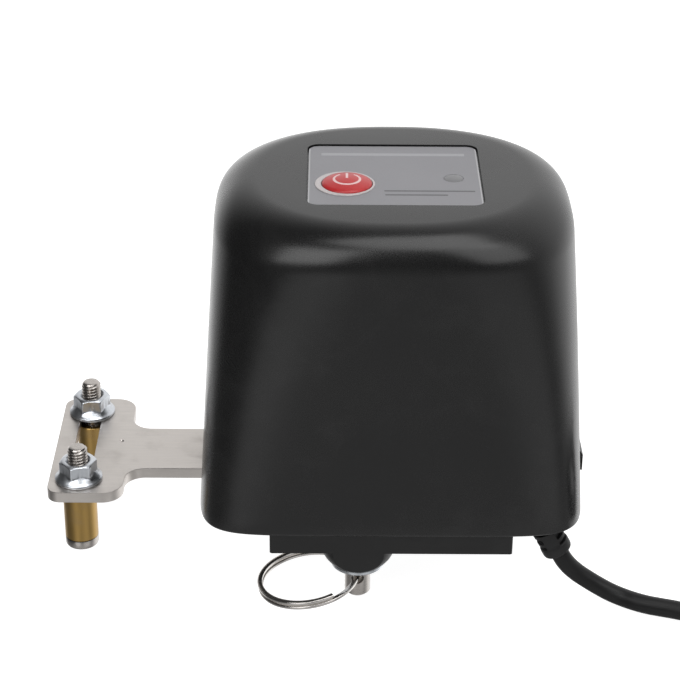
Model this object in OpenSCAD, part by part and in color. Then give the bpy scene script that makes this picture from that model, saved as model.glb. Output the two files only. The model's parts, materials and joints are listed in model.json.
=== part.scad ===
// Motorised lever-valve actuator: a box that clamps over a pipe and turns the
// handle of a ball valve between two brass posts. All sizes in millimetres.

/* [Housing] */
// Width of the cover at its bottom rim
body_w = 110; // [106:0.5:116]
// Depth of the cover at its bottom rim
body_d = 91; // [88:0.5:98]
// Width of the cover just under the top, before the shoulder is rounded
top_w = 99.5; // [96:0.5:106]
// Depth of the cover just under the top, before the shoulder is rounded
top_d = 89; // [86:0.5:96]
// Height of the cover from rim to top face
body_h = 91.5; // [88:0.5:98]
// Radius of the rounded shoulder round the top face
shoulder_r = 11.5; // [9:0.5:13]
// Squareness of the outline at the rim: 2 is an ellipse, higher is squarer
rim_squareness = 7.6; // [6:0.1:8.5]
// Squareness of the outline at the top
top_squareness = 2.3; // [2:0.1:2.8]
// Wall of the cover
wall = 2.4; // [1.8:0.1:3]
// Thickness of the base plate inside the rim
base_t = 3; // [2.5:0.1:3.5]
// Rounding of the bottom rim
rim_r = 1.2; // [0.6:0.1:1.6]
// Diameter of the screws that hold the cover
cover_screw_d = 3; // [2.5:0.1:3.5]
// Height of the cover's screw bosses above the base plate
cover_boss_h = 9; // [7:0.5:10]
// Width of each snap hook along the side wall
hook_w = 9; // [6:0.5:10]
// Height of the wedge of each snap hook
hook_h = 11.4; // [10:0.2:12]
// Height of the upright face below the wedge's slope
hook_face = 5; // [4:0.2:6]
// Height of the lower edge of the hook above the rim
hook_z = 7.6; // [7:0.2:8.4]
// How far the right hook stands out of the cover
hook_proud = 1; // [0.6:0.1:1.4]
// How far the left hook stays inside its window
hook_sunk = 0.3; // [0.2:0.1:0.8]
// Distance of each hook from the body's middle, along the side
hook_y = 16; // [14:0.5:18]

/* [Label and button] */
// Width of the label panel
label_w = 48; // [44:0.5:50]
// Depth of the label panel
label_d = 42; // [38:0.5:44]
// Thickness of the label panel
label_t = 0.5; // [0.3:0.1:0.6]
// Depth of the recess that holds the label
recess_depth = 0.9; // [0.7:0.1:1.1]
// Gap between the label and the edge of its recess
label_gap = 0.4; // [0.2:0.1:0.6]
// Corner radius of the label
label_r = 3; // [2:0.5:4]
// Diameter of the push button
button_d = 14; // [12:0.5:15]
// Button centre, from the label's left edge
button_inset = 10.8; // [10:0.2:12]
// Button centre, in front of the middle
button_y = 6.5; // [5:0.5:8]
// Height of the button's rim above the cover
button_rise = 0.2; // [0:0.1:0.6]
// Crown of the button above its rim
button_crown = 1.3; // [0.8:0.1:1.8]
// Travel of the button
button_travel = 0.8; // [0.4:0.1:1]
// Diameter of the light window
lens_d = 5.4; // [4:0.2:6]
// Light window, from the label's right edge
lens_inset = 7.4; // [6:0.2:10]
// Light window, in front of the middle
lens_y = 2; // [0:0.5:4]

/* [Mounting block] */
// Width of the block under the front of the base
block_w = 69; // [66:0.5:76]
// Depth of the block
block_d = 22; // [21:0.5:25]
// Height of the block below the rim
block_h = 7.6; // [7:0.1:9]
// Set-back of the block's front face behind the cover's rim
block_setback = 3.5; // [3:0.1:5]
// Spacing of the bracket holes across the block
mount_dx = 56; // [50:0.5:58]
// Spacing of the bracket holes along the block's depth
mount_dy = 14; // [12:0.5:15]
// Tapping diameter of the bracket holes
mount_hole_d = 3.3; // [2.5:0.1:4.2]
// Depth of the bracket holes
mount_hole_depth = 8; // [6:0.5:9]

/* [Lever] */
// Output axis, behind the body's middle
out_y = 13.5; // [12:0.5:14.5]
// Top of the lever plate below the rim
plate_drop = 6; // [5.5:0.1:7]
// Thickness of the lever plate
plate_t = 3.4; // [2.6:0.1:3.8]
// Width of the lever's arm
arm_w = 24; // [20:0.5:26]
// Outer edge of the cross-bar, from the output axis
bar_reach = 101.5; // [98:0.5:110]
// Width of the cross-bar along the arm
bar_w = 22.4; // [22:0.1:26]
// Length of the cross-bar
bar_l = 57; // [55:0.5:64]
// Offset of the cross-bar's middle behind the arm's middle
bar_shift = 2.2; // [0:0.1:3]
// Slot, in from the cross-bar's outer edge
slot_inset = 8.9; // [8:0.1:10]
// Width of the slot
slot_w = 6.6; // [6.4:0.1:7]
// Spacing of the two posts
post_gap = 40; // [36:0.5:42]
// Travel of each post along the slot
post_travel = 11; // [6:0.5:12]
// Rounded outer corners of the cross-bar
bar_corner = 4; // [2:0.5:5]
// Rounded inner corners of the cross-bar
bar_round = 6.2; // [4:0.1:7]
// Fillet between arm and cross-bar
arm_fillet = 6; // [4:0.5:8]

/* [Posts] */
// Diameter of the clamp bolts
bolt_d = 6; // [5:0.1:6.2]
// Diameter of the brass sleeves
sleeve_d = 10; // [9:0.5:12]
// Length of the brass sleeves
sleeve_l = 16.2; // [14:0.2:22]
// Height of the bolt heads under the sleeves
head_h = 3; // [2:0.2:4]
// Width across the flats of the flange nuts
nut_af = 10; // [9:0.5:11]
// Height of the flange nuts
nut_h = 6.4; // [6:0.1:8]
// Diameter of the nuts' flange
nut_flange_d = 14.2; // [12:0.2:15]
// Thickness of the nuts' flange
nut_flange_t = 1; // [0.8:0.1:1.4]
// Height of the cone from the nuts' flange to their flats
nut_cone_h = 2; // [1.5:0.1:2.5]
// Radius of the nuts' upper face
nut_top_r = 4.7; // [4.5:0.1:4.9]
// Depth of the countersink in the nuts' upper face
nut_sink = 0.7; // [0.3:0.1:1]
// Turn of the front nut on its stud
front_nut_turn = 13; // [0:1:59]
// Turn of the rear nut on its stud
rear_nut_turn = 4; // [0:1:59]
// Length of thread above each nut
stud_out = 4.4; // [3:0.1:6]

/* [Clutch] */
// Clutch pin, left of the middle
clutch_x = 9.3; // [8:0.1:10.5]
// Clutch pin, behind the cover's front rim
clutch_setback = 11.5; // [10.9:0.1:12.5]
// Diameter of the pull pin
pin_d = 7.4; // [6.4:0.2:7.6]
// Lower end of the pull pin below the rim
pin_reach = 25.4; // [24:0.1:26]
// Cross hole of the pin below the rim
pin_hole_drop = 19; // [18.6:0.1:19.6]
// Diameter of the cross hole
pin_hole_d = 3.6; // [3.4:0.1:4]
// Travel of the pull pin
clutch_travel = 6; // [5.5:0.1:6]
// Lower end of the boss round the pin, below the rim
boss_reach = 14.1; // [13.6:0.1:14.6]
// Radius of the boss where it meets the block
boss_root_r = 10.8; // [10:0.1:11.5]
// Radius of the boss at its lower end
boss_end_r = 7.9; // [7.8:0.1:8.2]
// Diameter of the flange of the pin's bush
bush_flange_d = 15.6; // [13:0.1:15.6]
// Thickness of the flange of the pin's bush
bush_flange_t = 1.2; // [1:0.1:1.6]
// Wire of the return spring
spring_wire = 0.7; // [0.5:0.1:0.8]
// Turns of the return spring
spring_turns = 5; // [4:1:6]
// Outside diameter of the split ring
ring_d = 30; // [28:0.5:32]
// Width of the split ring's flat wire
ring_wire_w = 1.5; // [1.2:0.1:1.6]
// Height of the split ring's flat wire
ring_wire_h = 1; // [0.8:0.1:1]
// Droop of the split ring to the left, in degrees
ring_droop = 8.2; // [5:0.1:11]

/* [Gears] */
// Distance from the output axis to the clutch pin in gear modules, which sets the gears' size
train_modules = 48.402; // [48:0.1:49]
// Pressure angle of all gears
pressure_angle = 25; // [22:1:26]
// Play between meshing teeth
backlash = 0.3; // [0.2:0.05:0.4]
// Teeth of the wheel on the output shaft
output_teeth = 46; // [45:1:47]
// Teeth of the small intermediate gear
small_teeth = 13; // [13:1:14]
// Teeth of the large intermediate gear
large_teeth = 28; // [27:1:29]
// Teeth of the sliding clutch gear
clutch_teeth = 14; // [13:1:15]
// Teeth of the motor pinion
pinion_teeth = 12; // [12:1:13]
// Width of the slow gear pair
slow_face = 6; // [5:0.2:6.4]
// Width of the fast gear pair
fast_face = 5; // [4.6:0.1:5]
// Diameter of the output shaft
shaft_d = 10; // [9:0.2:11]
// Diameter of the intermediate axle
axle_d = 4; // [3:0.2:4.4]
// Thickness of the gear plate
gear_plate_t = 2.5; // [2:0.1:3]
// Diameter of the pillars between base and gear plate
pillar_d = 7; // [6:0.5:8]

/* [Motor] */
// Diameter of the motor
motor_d = 24; // [22:0.5:24.4]
// Length of the motor's gearhead
gearhead_l = 13; // [10:0.5:15]
// Room between the motor's end cap and the board above it
motor_headroom = 14.5; // [12:0.5:18]
// Diameter of the motor shaft
motor_shaft_d = 3; // [2:0.1:4]
// Direction of the motor from the clutch pin, in degrees
motor_turn = 150; // [148:1:156]

/* [Control board] */
// Width of the board
board_w = 54; // [52:0.5:58]
// Depth of the board
board_d = 46; // [44:0.5:48]
// Thickness of the board
board_t = 1.6; // [1.2:0.1:2]
// Underside of the board below the cover's top
board_drop = 13.5; // [13:0.1:14]

/* [Cable] */
// Diameter of the cable
cable_d = 5.5; // [5:0.1:5.6]
// Length of the strain relief outside the base
gland_l = 13.4; // [13.2:0.1:13.8]
// Lean of the strain relief from straight down, in degrees
gland_lean = 28; // [27.5:0.5:28.5]
// Strain relief, right of the middle
gland_x = 42.2; // [42:0.1:42.4]
// Strain relief, in front of the middle
gland_y = 33; // [32.8:0.1:33.2]
// Outer winding radius of the coil
coil_r = 33.5; // [33:0.5:36]
// Distance from one turn of the coil to the next
coil_step = 5.9; // [5.8:0.1:6.2]
// Thickness of the tie round the coil
tie_t = 0.8; // [0.6:0.1:1]
// Diameter of the plug's grip
plug_d = 10; // [9:0.5:11]

/* [Fits] */
// Radial clearance of a running fit
run_fit = 0.05; // [0.02:0.01:0.08]
// Clearance between pieces that slide past each other
slip_fit = 0.2; // [0.15:0.05:0.3]
// End play between a turning piece and its seat
end_play = 0.3; // [0.2:0.05:0.4]

/* [Hidden] */
$fn = 64;

// Levels of the cover
ceiling_z = body_h - wall;
inner_r = shoulder_r - wall;
rim_steps = 4;
wall_steps = 9;
shoulder_steps = 8;
outline_steps = 72;

// Base, block and mount
block_y = -body_d / 2 + block_setback + block_d / 2;
mount_z = -block_h;
screw_x = body_w / 2 - 6.7;
screw_side_y = -2;
screw_rear_x = 30;
screw_rear_y = body_d / 2 - 6.5;
cover_screw_spots = [[screw_x, screw_side_y], [-screw_x, screw_side_y],
    [screw_rear_x, screw_rear_y], [-screw_rear_x, screw_rear_y]];
cover_boss_r = 4.2;
hook_t = 2;

// Gear train positions, worked out from the tooth counts
out_spot = [0, out_y];
clutch_spot = [-clutch_x, clutch_setback - body_d / 2];
span = norm(clutch_spot - out_spot);
gear_module = span / train_modules;
slow_centre = gear_module * (output_teeth + small_teeth) / 2;
fast_centre = gear_module * (large_teeth + clutch_teeth) / 2;
pinion_centre = gear_module * (clutch_teeth + pinion_teeth) / 2;
along = (slow_centre * slow_centre - fast_centre * fast_centre + span * span) / (2 * span);
aside = sqrt(slow_centre * slow_centre - along * along);
line_dir = (clutch_spot - out_spot) / span;
mid_spot = out_spot + along * line_dir + aside * [-line_dir[1], line_dir[0]];
motor_spot = clutch_spot + pinion_centre * [cos(motor_turn), sin(motor_turn)];

// Heights of the gear train above the rim
collar_t = 1.2;
fast_z = 9.5;
slow_z = fast_z + fast_face + 0.5;
gear_plate_z = slow_z + slow_face + 2.5;
gear_plate_top = gear_plate_z + gear_plate_t;
collar_z = fast_z - collar_t;
pinion_z = fast_z - clutch_travel;
pinion_l = clutch_travel + fast_face;
pocket_r = 6;
pocket_z = -3;
bush_r = 5;
spigot_r = pin_d / 2 - 1;
spigot_top = gear_plate_z + 1.5;
clip_z = fast_z + fast_face + end_play;
clip_t = 0.8;
spigot_boss_z = clip_z + clip_t + 0.6;
mid_boss_r = 4;
out_boss_r = 9;
out_boss_top = 6;
out_boss_drop = 3;
bush_wall = 2;
flange_t = 1.2;
cam_z = out_boss_top + flange_t + 1;
cam_t = 4;
cam_r = 9;
cam_lobe_r = 12.5;
micro_size = [6.4, 12.8, 11];
hub_r = 8;
hub_drop = out_boss_drop + end_play;
drive_side = 7;
pillar_spots = [[-30, 22], [30, 22], [24, -30], [-37, -14]];
pillar_spigot_r = 2;
pillar_spigot_l = 2;
plate_screw_r = 1.5;
plate_screw_l = 6;
motor_screw_r = 8.5;

// Lever and posts
bar_y = out_y + bar_shift;
slot_x = -bar_reach + slot_inset;
slot_l = post_gap + bolt_d + 2.6;
front_post_y = bar_y - post_gap / 2;
rear_post_y = bar_y + post_gap / 2;
plate_z = -plate_drop - plate_t;
seat_gap = run_fit;
sleeve_top = plate_z - seat_gap;
head_z = sleeve_top - sleeve_l - head_h;
nut_z = -plate_drop + seat_gap;
stud_top = nut_z + nut_h + stud_out;
washer_t = 1;
washer_r = 7;
arm_screw_d = 5;
arm_screw_l = 12;
arm_screw_head_h = 3.5;
arm_screw_head_r = 4.5;

// Button, label and board
recess_z = body_h - recess_depth;
label_z = recess_z;
button_spot = [button_inset - label_w / 2, -button_y];
lens_spot = [label_w / 2 - lens_inset, -lens_y];
board_z = body_h - board_drop;
board_top = board_z + board_t;
board_screw_spots = [for (x = [-1, 1], y = [-1, 1]) [x * (board_w / 2 - 4), y * (board_d / 2 - 4)]];
board_boss_r = 3;
board_screw_r = 1.2;
switch_side = 6;
switch_h = 3.5;
plunger_r = 1.75;
plunger_out = 1.2;
plunger_in = 1.2;
plunger_top = board_top + switch_h + plunger_out;
button_flange_t = 1.4;
button_flange_top = ceiling_z - end_play;
button_dome_r = (button_d * button_d / 4 + button_crown * button_crown) / (2 * button_crown);
terminal_h = 6;
terminal_side = 8;
power_terminal = [14, -14];
motor_terminal = [-16, -12];
radio_spot = [4, 9];
radio_w = 16;
radio_d = 20;
radio_h = 3;
capacitor_spots = [[0, 14], [9, 14]];
capacitor_r = 3.2;
capacitor_h = 9;
driver_spot = [-4, -2];
driver_w = 10;
driver_h = 1.8;

// Motor levels
can_z = gear_plate_top + gearhead_l;
end_cap_h = 2.5;
end_cap_z = board_z - motor_headroom - end_cap_h;
can_l = end_cap_z - can_z;
tab_h = 2;
tab_gap = 4;

// Floor that the posts and the cable lie on, and the cable's route
floor_z = head_z;
gland_flange_r = 5.2;
gland_hole_r = 3.6;
gland_end = [gland_x + gland_l * sin(gland_lean), -gland_y, -gland_l * cos(gland_lean)];
lay_z = floor_z + cable_d / 2;
coil_z = lay_z + tie_t + slip_fit / 2;
cable_route = [gland_end, [51, -33, -16], [53.9, -33, -19.1], [57.5, -33.3, -21.7],
    [61.1, -33.9, -23.8], [64.5, -35, -25.2], [67.9, -36.5, lay_z], [71.1, -38.5, lay_z],
    [74.4, -40.1, lay_z], [77.7, -41.2, lay_z], [81, -42.2, lay_z], [86, -43.9, lay_z],
    [91, -45.7, lay_z + 0.1], [97, -47.4, lay_z + 0.4], [104, -48.9, lay_z + 0.7],
    [111, -49.8, coil_z], [118, -50, coil_z], [124, -50, coil_z]];
coil_start = cable_route[len(cable_route) - 1];
coil_lead = 5;
coil_turns_in = 2.5;
coil_turns_out = 2.25;
coil_ring_count = 24;
coil_centre = [coil_start[0] + coil_lead, coil_start[1] + coil_r];
coil_inner_r = coil_r - coil_turns_in * coil_step;
coil_last_r = coil_inner_r + coil_turns_out * coil_step;
coil_top_z = coil_start[2] + coil_step;
tie_angle = 70;
tie_turn = (tie_angle + 90) / 360;
tie_w = 4;
tail_x = coil_centre[0] + coil_last_r;
plug_z = floor_z + plug_d / 2 + 0.2;
tail_y = coil_centre[1];
cable_tail = [[tail_x, tail_y + 5, coil_top_z], [tail_x, tail_y + 10, coil_top_z - 0.8],
    [tail_x, tail_y + 15, (coil_top_z + plug_z) / 2], [tail_x, tail_y + 20, plug_z + 0.5],
    [tail_x, tail_y + 25, plug_z]];
plug_start = cable_tail[len(cable_tail) - 1];
power_lead_d = 3.2;
lead_end = [power_terminal[0], power_terminal[1], board_z - terminal_h];
lead_shares = [[0.04, 0.33], [0.18, 0.58], [0.43, 0.8], [0.86, 0.9]];
power_lead_route = concat([[gland_x, -gland_y, base_t + 1.4], [gland_x, -gland_y, base_t + 7]],
    [for (s = lead_shares) [gland_x + s[0] * (lead_end[0] - gland_x),
        s[0] * (lead_end[1] + gland_y) - gland_y, s[1] * lead_end[2]]],
    [lead_end - [0, 0, 4], lead_end]);
motor_lead_d = 1.4;
lead_rise = [0, 0, 1.2];

// Outline of the cover at a height: a rounded box below that turns to an ellipse above
function part_way(z, a, b) = a + (b - a) * max(0, z) / body_h;
function half_w(z) = part_way(z, body_w, top_w) / 2;
function half_d(z) = part_way(z, body_d, top_d) / 2;
function squareness(z) = part_way(z, rim_squareness, top_squareness);
function signed_power(v, e) = sign(v) * pow(abs(v), e);
function outline(z, inset) = let(e = 2 / squareness(z))
    [for (i = [0:outline_steps - 1]) let(t = 360 * i / outline_steps)
        [(half_w(z) - inset) * signed_power(cos(t), e), (half_d(z) - inset) * signed_power(sin(t), e)]];
function side_x(y, z, inset) = let(n = squareness(z))
    (half_w(z) - inset) * pow(1 - pow(abs(y) / (half_d(z) - inset), n), 1 / n);
function ring_at(z, inset) = [for (p = outline(z, inset)) [p[0], p[1], z]];
function round_in(angle, r) = r * (1 - sin(angle));
function cover_rings(top, r, inset, low) = concat(low,
    [for (i = [1:wall_steps]) ring_at((top - r) * i / wall_steps, inset)],
    [for (i = [1:shoulder_steps]) let(a = 90 * i / shoulder_steps)
        ring_at(top - r + r * sin(a), inset + r * (1 - cos(a)))]);
outer_low = [for (i = [0:rim_steps]) let(a = 90 * i / rim_steps)
    ring_at(rim_r * (1 - cos(a)), round_in(a, rim_r))];
inner_low = [ring_at(-1, wall), ring_at(base_t, wall)];

// Closed skin over a stack of rings
module skin(rings) {
    n = len(rings[0]);
    last = len(rings) - 1;
    walls = [for (k = [0:last - 1], i = [0:n - 1]) let(a = k * n + i, b = k * n + (i + 1) % n)
        each [[a, b + n, b], [a, a + n, b + n]]];
    floor_face = [for (i = [0:n - 1]) i];
    roof_face = [for (i = [n - 1:-1:0]) last * n + i];
    polyhedron([for (r = rings) each r], concat(walls, [floor_face, roof_face]));
}

// Rings of a profile carried along a path that never runs along the side axis
function unit(v) = v / norm(v);
function tangent(path, i) = unit(path[min(i + 1, len(path) - 1)] - path[max(i - 1, 0)]);
function swept(path, profile, side = [0, 0, 1]) = [for (i = [0:len(path) - 1])
    let(t = tangent(path, i), s = unit(cross(t, side)), u = cross(t, s))
    [for (p = profile) path[i] + p[0] * s + p[1] * u]];
function round_profile(d, sides) = [for (i = [0:sides - 1])
    let(a = 360 * i / sides) d / 2 * [cos(a), sin(a)]];
function flat_profile(w, h) = [[w, h], [-w, h], [-w, -h], [w, -h]] / 2;
function least_gap(path, apart, d) = min([for (i = [0:len(path) - 1], j = [i + apart:1:len(path) - 1])
    norm(path[i] - path[j])]) - d;

// Two-dimensional helpers
module rounded_rect(w, d, r) {
    square([w - 2 * r, d], center = true);
    square([w, d - 2 * r], center = true);
    for (x = [-1, 1], y = [-1, 1])
        translate([x * (w / 2 - r), y * (d / 2 - r)]) circle(r);
}

module slot_2d(w, l) {
    square([w, l - w], center = true);
    for (y = [-1, 1]) translate([0, y * (l - w) / 2]) circle(w / 2);
}

module at(spot, z) {
    translate([spot[0], spot[1], z]) children();
}

module sleeve(r_out, r_in, h) {
    linear_extrude(h) difference() {
        circle(r_out);
        circle(r_in);
    }
}

// Involute gear outline with a tooth pointing along phase
function involute(a) = tan(a) * 180 / PI - a;
function gear_outline(teeth, phase) = let(rp = gear_module * teeth / 2, rb = rp * cos(pressure_angle),
    ra = rp + 0.9 * gear_module, rf = rp - 1.25 * gear_module, r0 = max(rb, rf),
    half = 90 / teeth - backlash / 4 / rp * 180 / PI,
    flank = [for (k = [0:3]) let(r = r0 + (ra - r0) * k / 3)
        [r, half + involute(pressure_angle) - involute(acos(min(1, rb / r)))]],
    edge = concat([[rf, flank[0][1]]], flank))
    [for (i = [0:teeth - 1]) let(c = phase + 360 * i / teeth) each concat(
        [for (f = edge) f[0] * [cos(c - f[1]), sin(c - f[1])]],
        [for (k = [len(edge) - 1:-1:0]) edge[k][0] * [cos(c + edge[k][1]), sin(c + edge[k][1])]])];
function heading(from, to) = atan2(to[1] - from[1], to[0] - from[0]);
function meshed(phase, teeth, from, to, next) = let(a = heading(from, to))
    a + 180 + 180 / next - (phase - a) * teeth / next;
output_phase = 0;
small_phase = meshed(output_phase, output_teeth, out_spot, mid_spot, small_teeth);
large_phase = 0;
clutch_phase = meshed(large_phase, large_teeth, mid_spot, clutch_spot, clutch_teeth);
pinion_phase = meshed(clutch_phase, clutch_teeth, clutch_spot, motor_spot, pinion_teeth);

// Housing
module hook_window(side) {
    translate([side * half_w(hook_z), -side * hook_y, hook_z + hook_h / 2])
        cube([4 * wall, hook_w + 2 * slip_fit, hook_h + 2 * slip_fit], center = true);
}

module top_cover() color("#1f1f21") difference() {
    union() {
        difference() {
            skin(cover_rings(body_h, shoulder_r, 0, outer_low));
            skin(cover_rings(ceiling_z, inner_r, wall, inner_low));
        }
        for (p = cover_screw_spots)
            at(p, base_t) cylinder(r = cover_boss_r, h = cover_boss_h);
        for (p = board_screw_spots)
            at(p, board_top) cylinder(r = board_boss_r, h = ceiling_z - board_top + wall / 4);
    }
    translate([0, 0, recess_z])
        linear_extrude(2 * recess_depth)
            rounded_rect(label_w + 2 * label_gap, label_d + 2 * label_gap, label_r + label_gap);
    at(button_spot, ceiling_z - 1) cylinder(r = button_d / 2 + end_play, h = 2 * wall);
    at(lens_spot, ceiling_z - 1) cylinder(r = lens_d / 2 + run_fit, h = 2 * wall);
    for (side = [-1, 1]) hook_window(side);
    for (p = cover_screw_spots)
        at(p, base_t - 1) cylinder(r = cover_screw_d / 2 + run_fit, h = cover_boss_h);
    for (p = board_screw_spots)
        at(p, board_top - 1) cylinder(r = board_screw_r + run_fit, h = ceiling_z - board_top);
}

module snap_hook(side) {
    far_y = hook_y + hook_w / 2;
    top_z = hook_z + hook_h;
    root_x = side_x(far_y, top_z, wall + slip_fit);
    tip_x = half_w(hook_z) + (side > 0 ? hook_proud : -hook_sunk);
    rotate([0, 0, side > 0 ? 0 : 180])
        translate([0, -hook_y + hook_w / 2, 0])
            rotate([90, 0, 0])
                linear_extrude(hook_w)
                    polygon([[root_x - hook_t, 0], [root_x, 0], [root_x, hook_z], [tip_x, hook_z],
                        [tip_x, hook_z + hook_face], [root_x, top_z], [root_x - hook_t, top_z]]);
}

// Rounded boss under the block, cut flush with the block's front
module clutch_boss() {
    flare = boss_root_r - boss_end_r;
    drop = boss_reach - block_h;
    front = block_setback - clutch_setback;
    intersection() {
        rotate_extrude()
            polygon(concat([[0, 1 - block_h], [boss_root_r, 1 - block_h]],
                [for (i = [0:6]) [boss_root_r - flare * pow(i / 6, 2.6), -block_h - drop * i / 6]],
                [[0, -boss_reach]]));
        translate([-2 * boss_root_r, front, -2 * boss_reach]) cube(4 * boss_root_r);
    }
}

module base_frame() color("#202022") difference() {
    union() {
        linear_extrude(base_t) polygon(outline(base_t, wall + slip_fit));
        translate([0, block_y, -block_h])
            linear_extrude(block_h + base_t / 2) rounded_rect(block_w, block_d, 0.8);
        at(clutch_spot, 0) clutch_boss();
        at(out_spot, -out_boss_drop) cylinder(r = out_boss_r, h = out_boss_drop + out_boss_top);
        at(mid_spot, base_t / 2) cylinder(r = mid_boss_r, h = fast_z - end_play - base_t / 2);
        for (side = [-1, 1]) snap_hook(side);
    }
    at(clutch_spot, pocket_z) cylinder(r = pocket_r, h = base_t - pocket_z + 1);
    at(clutch_spot, -boss_reach - 1) cylinder(r = bush_r + run_fit, h = boss_reach + pocket_z + 2);
    at(out_spot, -out_boss_drop - 1)
        cylinder(r = shaft_d / 2 + bush_wall + run_fit, h = out_boss_drop + out_boss_top + 2);
    at(mid_spot, 1) cylinder(r = axle_d / 2 + run_fit, h = fast_z);
    for (p = pillar_spots)
        at(p, base_t - pillar_spigot_l) cylinder(r = pillar_spigot_r + run_fit, h = pillar_spigot_l + 1);
    for (p = cover_screw_spots) at(p, -1) cylinder(r = cover_screw_d / 2 + slip_fit, h = base_t + 2);
    for (p = cover_screw_spots)
        at(p, -0.01) cylinder(r1 = cover_screw_d + slip_fit, r2 = cover_screw_d / 2 + slip_fit, h = 1.6);
    translate([gland_x, -gland_y, -1]) cylinder(r = gland_hole_r + run_fit, h = base_t + 2);
    for (x = [-1, 1], y = [-1, 1])
        translate([x * mount_dx / 2, block_y + y * mount_dy / 2, mount_z - 1])
            cylinder(r = mount_hole_d / 2, h = mount_hole_depth + 1);
}

module cover_screws() color("silver")
    for (p = cover_screw_spots) {
        at(p, 0) cylinder(r1 = cover_screw_d, r2 = cover_screw_d / 2, h = 1.6);
        at(p, 0) cylinder(r = cover_screw_d / 2, h = base_t + cover_boss_h - 2);
    }

module label_panel() color("#9d9ca0") translate([0, 0, label_z]) linear_extrude(label_t) difference() {
    rounded_rect(label_w, label_d, label_r);
    translate(button_spot) circle(button_d / 2 + end_play);
    translate(lens_spot) circle(lens_d / 2 + run_fit);
}

module led_lens() color("#8c8c90") {
    at(lens_spot, ceiling_z - 3) cylinder(r = lens_d / 2, h = label_z + label_t + 3 - ceiling_z);
    at(lens_spot, ceiling_z - 3) cylinder(r = lens_d / 2 + 1, h = 3 - run_fit);
}

// Button and control board
module power_button() color("#c83232") {
    rim_z = body_h + button_rise;
    flange_z = button_flange_top - button_flange_t;
    at(button_spot, flange_z) cylinder(r = button_d / 2, h = rim_z - flange_z);
    at(button_spot, flange_z) cylinder(r = button_d / 2 + 1.2, h = button_flange_t);
    at(button_spot, plunger_top) cylinder(r = 2, h = flange_z + 0.5 - plunger_top);
    intersection() {
        at(button_spot, rim_z - 0.5) cylinder(r = button_d / 2, h = button_crown + 1);
        at(button_spot, rim_z + button_crown - button_dome_r) sphere(button_dome_r);
    }
}

module control_board() color("#1f5f3a") translate([0, 0, board_z]) linear_extrude(board_t) difference() {
    rounded_rect(board_w, board_d, 2);
    for (p = board_screw_spots) translate(p) circle(board_screw_r + slip_fit);
}

module board_screws() color("silver")
    for (p = board_screw_spots) {
        at(p, board_z - 1.4) cylinder(r = 2.4, h = 1.4);
        at(p, board_z - 1.4) cylinder(r = board_screw_r, h = board_t + 7);
    }

module tact_switch() color("#2a2a2c") difference() {
    at(button_spot, board_top + switch_h / 2) cube([switch_side, switch_side, switch_h], center = true);
    at(button_spot, board_top + switch_h - plunger_in - button_travel - 0.3)
        cylinder(r = plunger_r + run_fit, h = switch_h);
}

module switch_plunger() color("black")
    at(button_spot, board_top + switch_h - plunger_in) cylinder(r = plunger_r, h = plunger_in + plunger_out);

module radio_module() color("#b9bdc2") at(radio_spot, board_top) {
    linear_extrude(1) square([radio_w, radio_d], center = true);
    translate([0, -radio_d / 10, 0]) linear_extrude(radio_h) rounded_rect(radio_w - 2, radio_w - 2, 1);
}

module status_led() color("white") at(lens_spot, board_top) {
    translate([0, 0, 0.5]) cube([3, 2.4, 1], center = true);
    cylinder(r = 1, h = ceiling_z - 3 - board_top - end_play);
}

module power_capacitors() color("#3a3f55")
    for (p = capacitor_spots) at(p, board_z - capacitor_h) cylinder(r = capacitor_r, h = capacitor_h);

module motor_driver() color("#18181a")
    at(driver_spot, board_z - driver_h)
        linear_extrude(driver_h) square([driver_w, driver_w / 2], center = true);

module wire_terminals() color("#e8e4da")
    for (p = [power_terminal, motor_terminal])
        at(p, board_z - terminal_h)
            linear_extrude(terminal_h) rounded_rect(terminal_side, terminal_side, 0.8);

// Motor
module motor_gearhead() color("silver") difference() {
    at(motor_spot, gear_plate_top) cylinder(r = motor_d / 2, h = gearhead_l);
    at(motor_spot, gear_plate_top - 1) cylinder(r = motor_shaft_d / 2 + run_fit, h = gearhead_l - 1);
    motor_screw_holes(gear_plate_top - 1, 6, motor_shaft_d / 2 + run_fit);
}

module motor_screw_holes(z, h, r) {
    for (side = [-1, 1]) at(motor_spot, z)
        rotate([0, 0, motor_turn + 90 * side]) translate([motor_screw_r, 0, 0]) cylinder(r = r, h = h);
}

module motor_can() color("#a8a9ad") at(motor_spot, can_z) cylinder(r = motor_d / 2 - 0.3, h = can_l);

module motor_end_cap() color("#222222") {
    at(motor_spot, end_cap_z) cylinder(r = motor_d / 2 - 1, h = end_cap_h);
    for (x = [-1, 1]) at(motor_spot + [x * tab_gap, 0], end_cap_z + end_cap_h)
        translate([0, 0, tab_h / 2 - 0.2]) cube([0.6, 2.4, tab_h + 0.4], center = true);
}

module motor_screws() color("silver") {
    motor_screw_holes(gear_plate_z - 1.6, 1.6, 2.6);
    motor_screw_holes(gear_plate_z - 1, gear_plate_t + 5, motor_shaft_d / 2);
}

module motor_shaft() color("silver")
    at(motor_spot, pinion_z) cylinder(r = motor_shaft_d / 2, h = gear_plate_top + gearhead_l - 3 - pinion_z);

module motor_pinion() color("#c9a23c") at(motor_spot, pinion_z) linear_extrude(pinion_l) difference() {
    polygon(gear_outline(pinion_teeth, pinion_phase));
    circle(motor_shaft_d / 2 + run_fit / 2);
}

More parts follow.
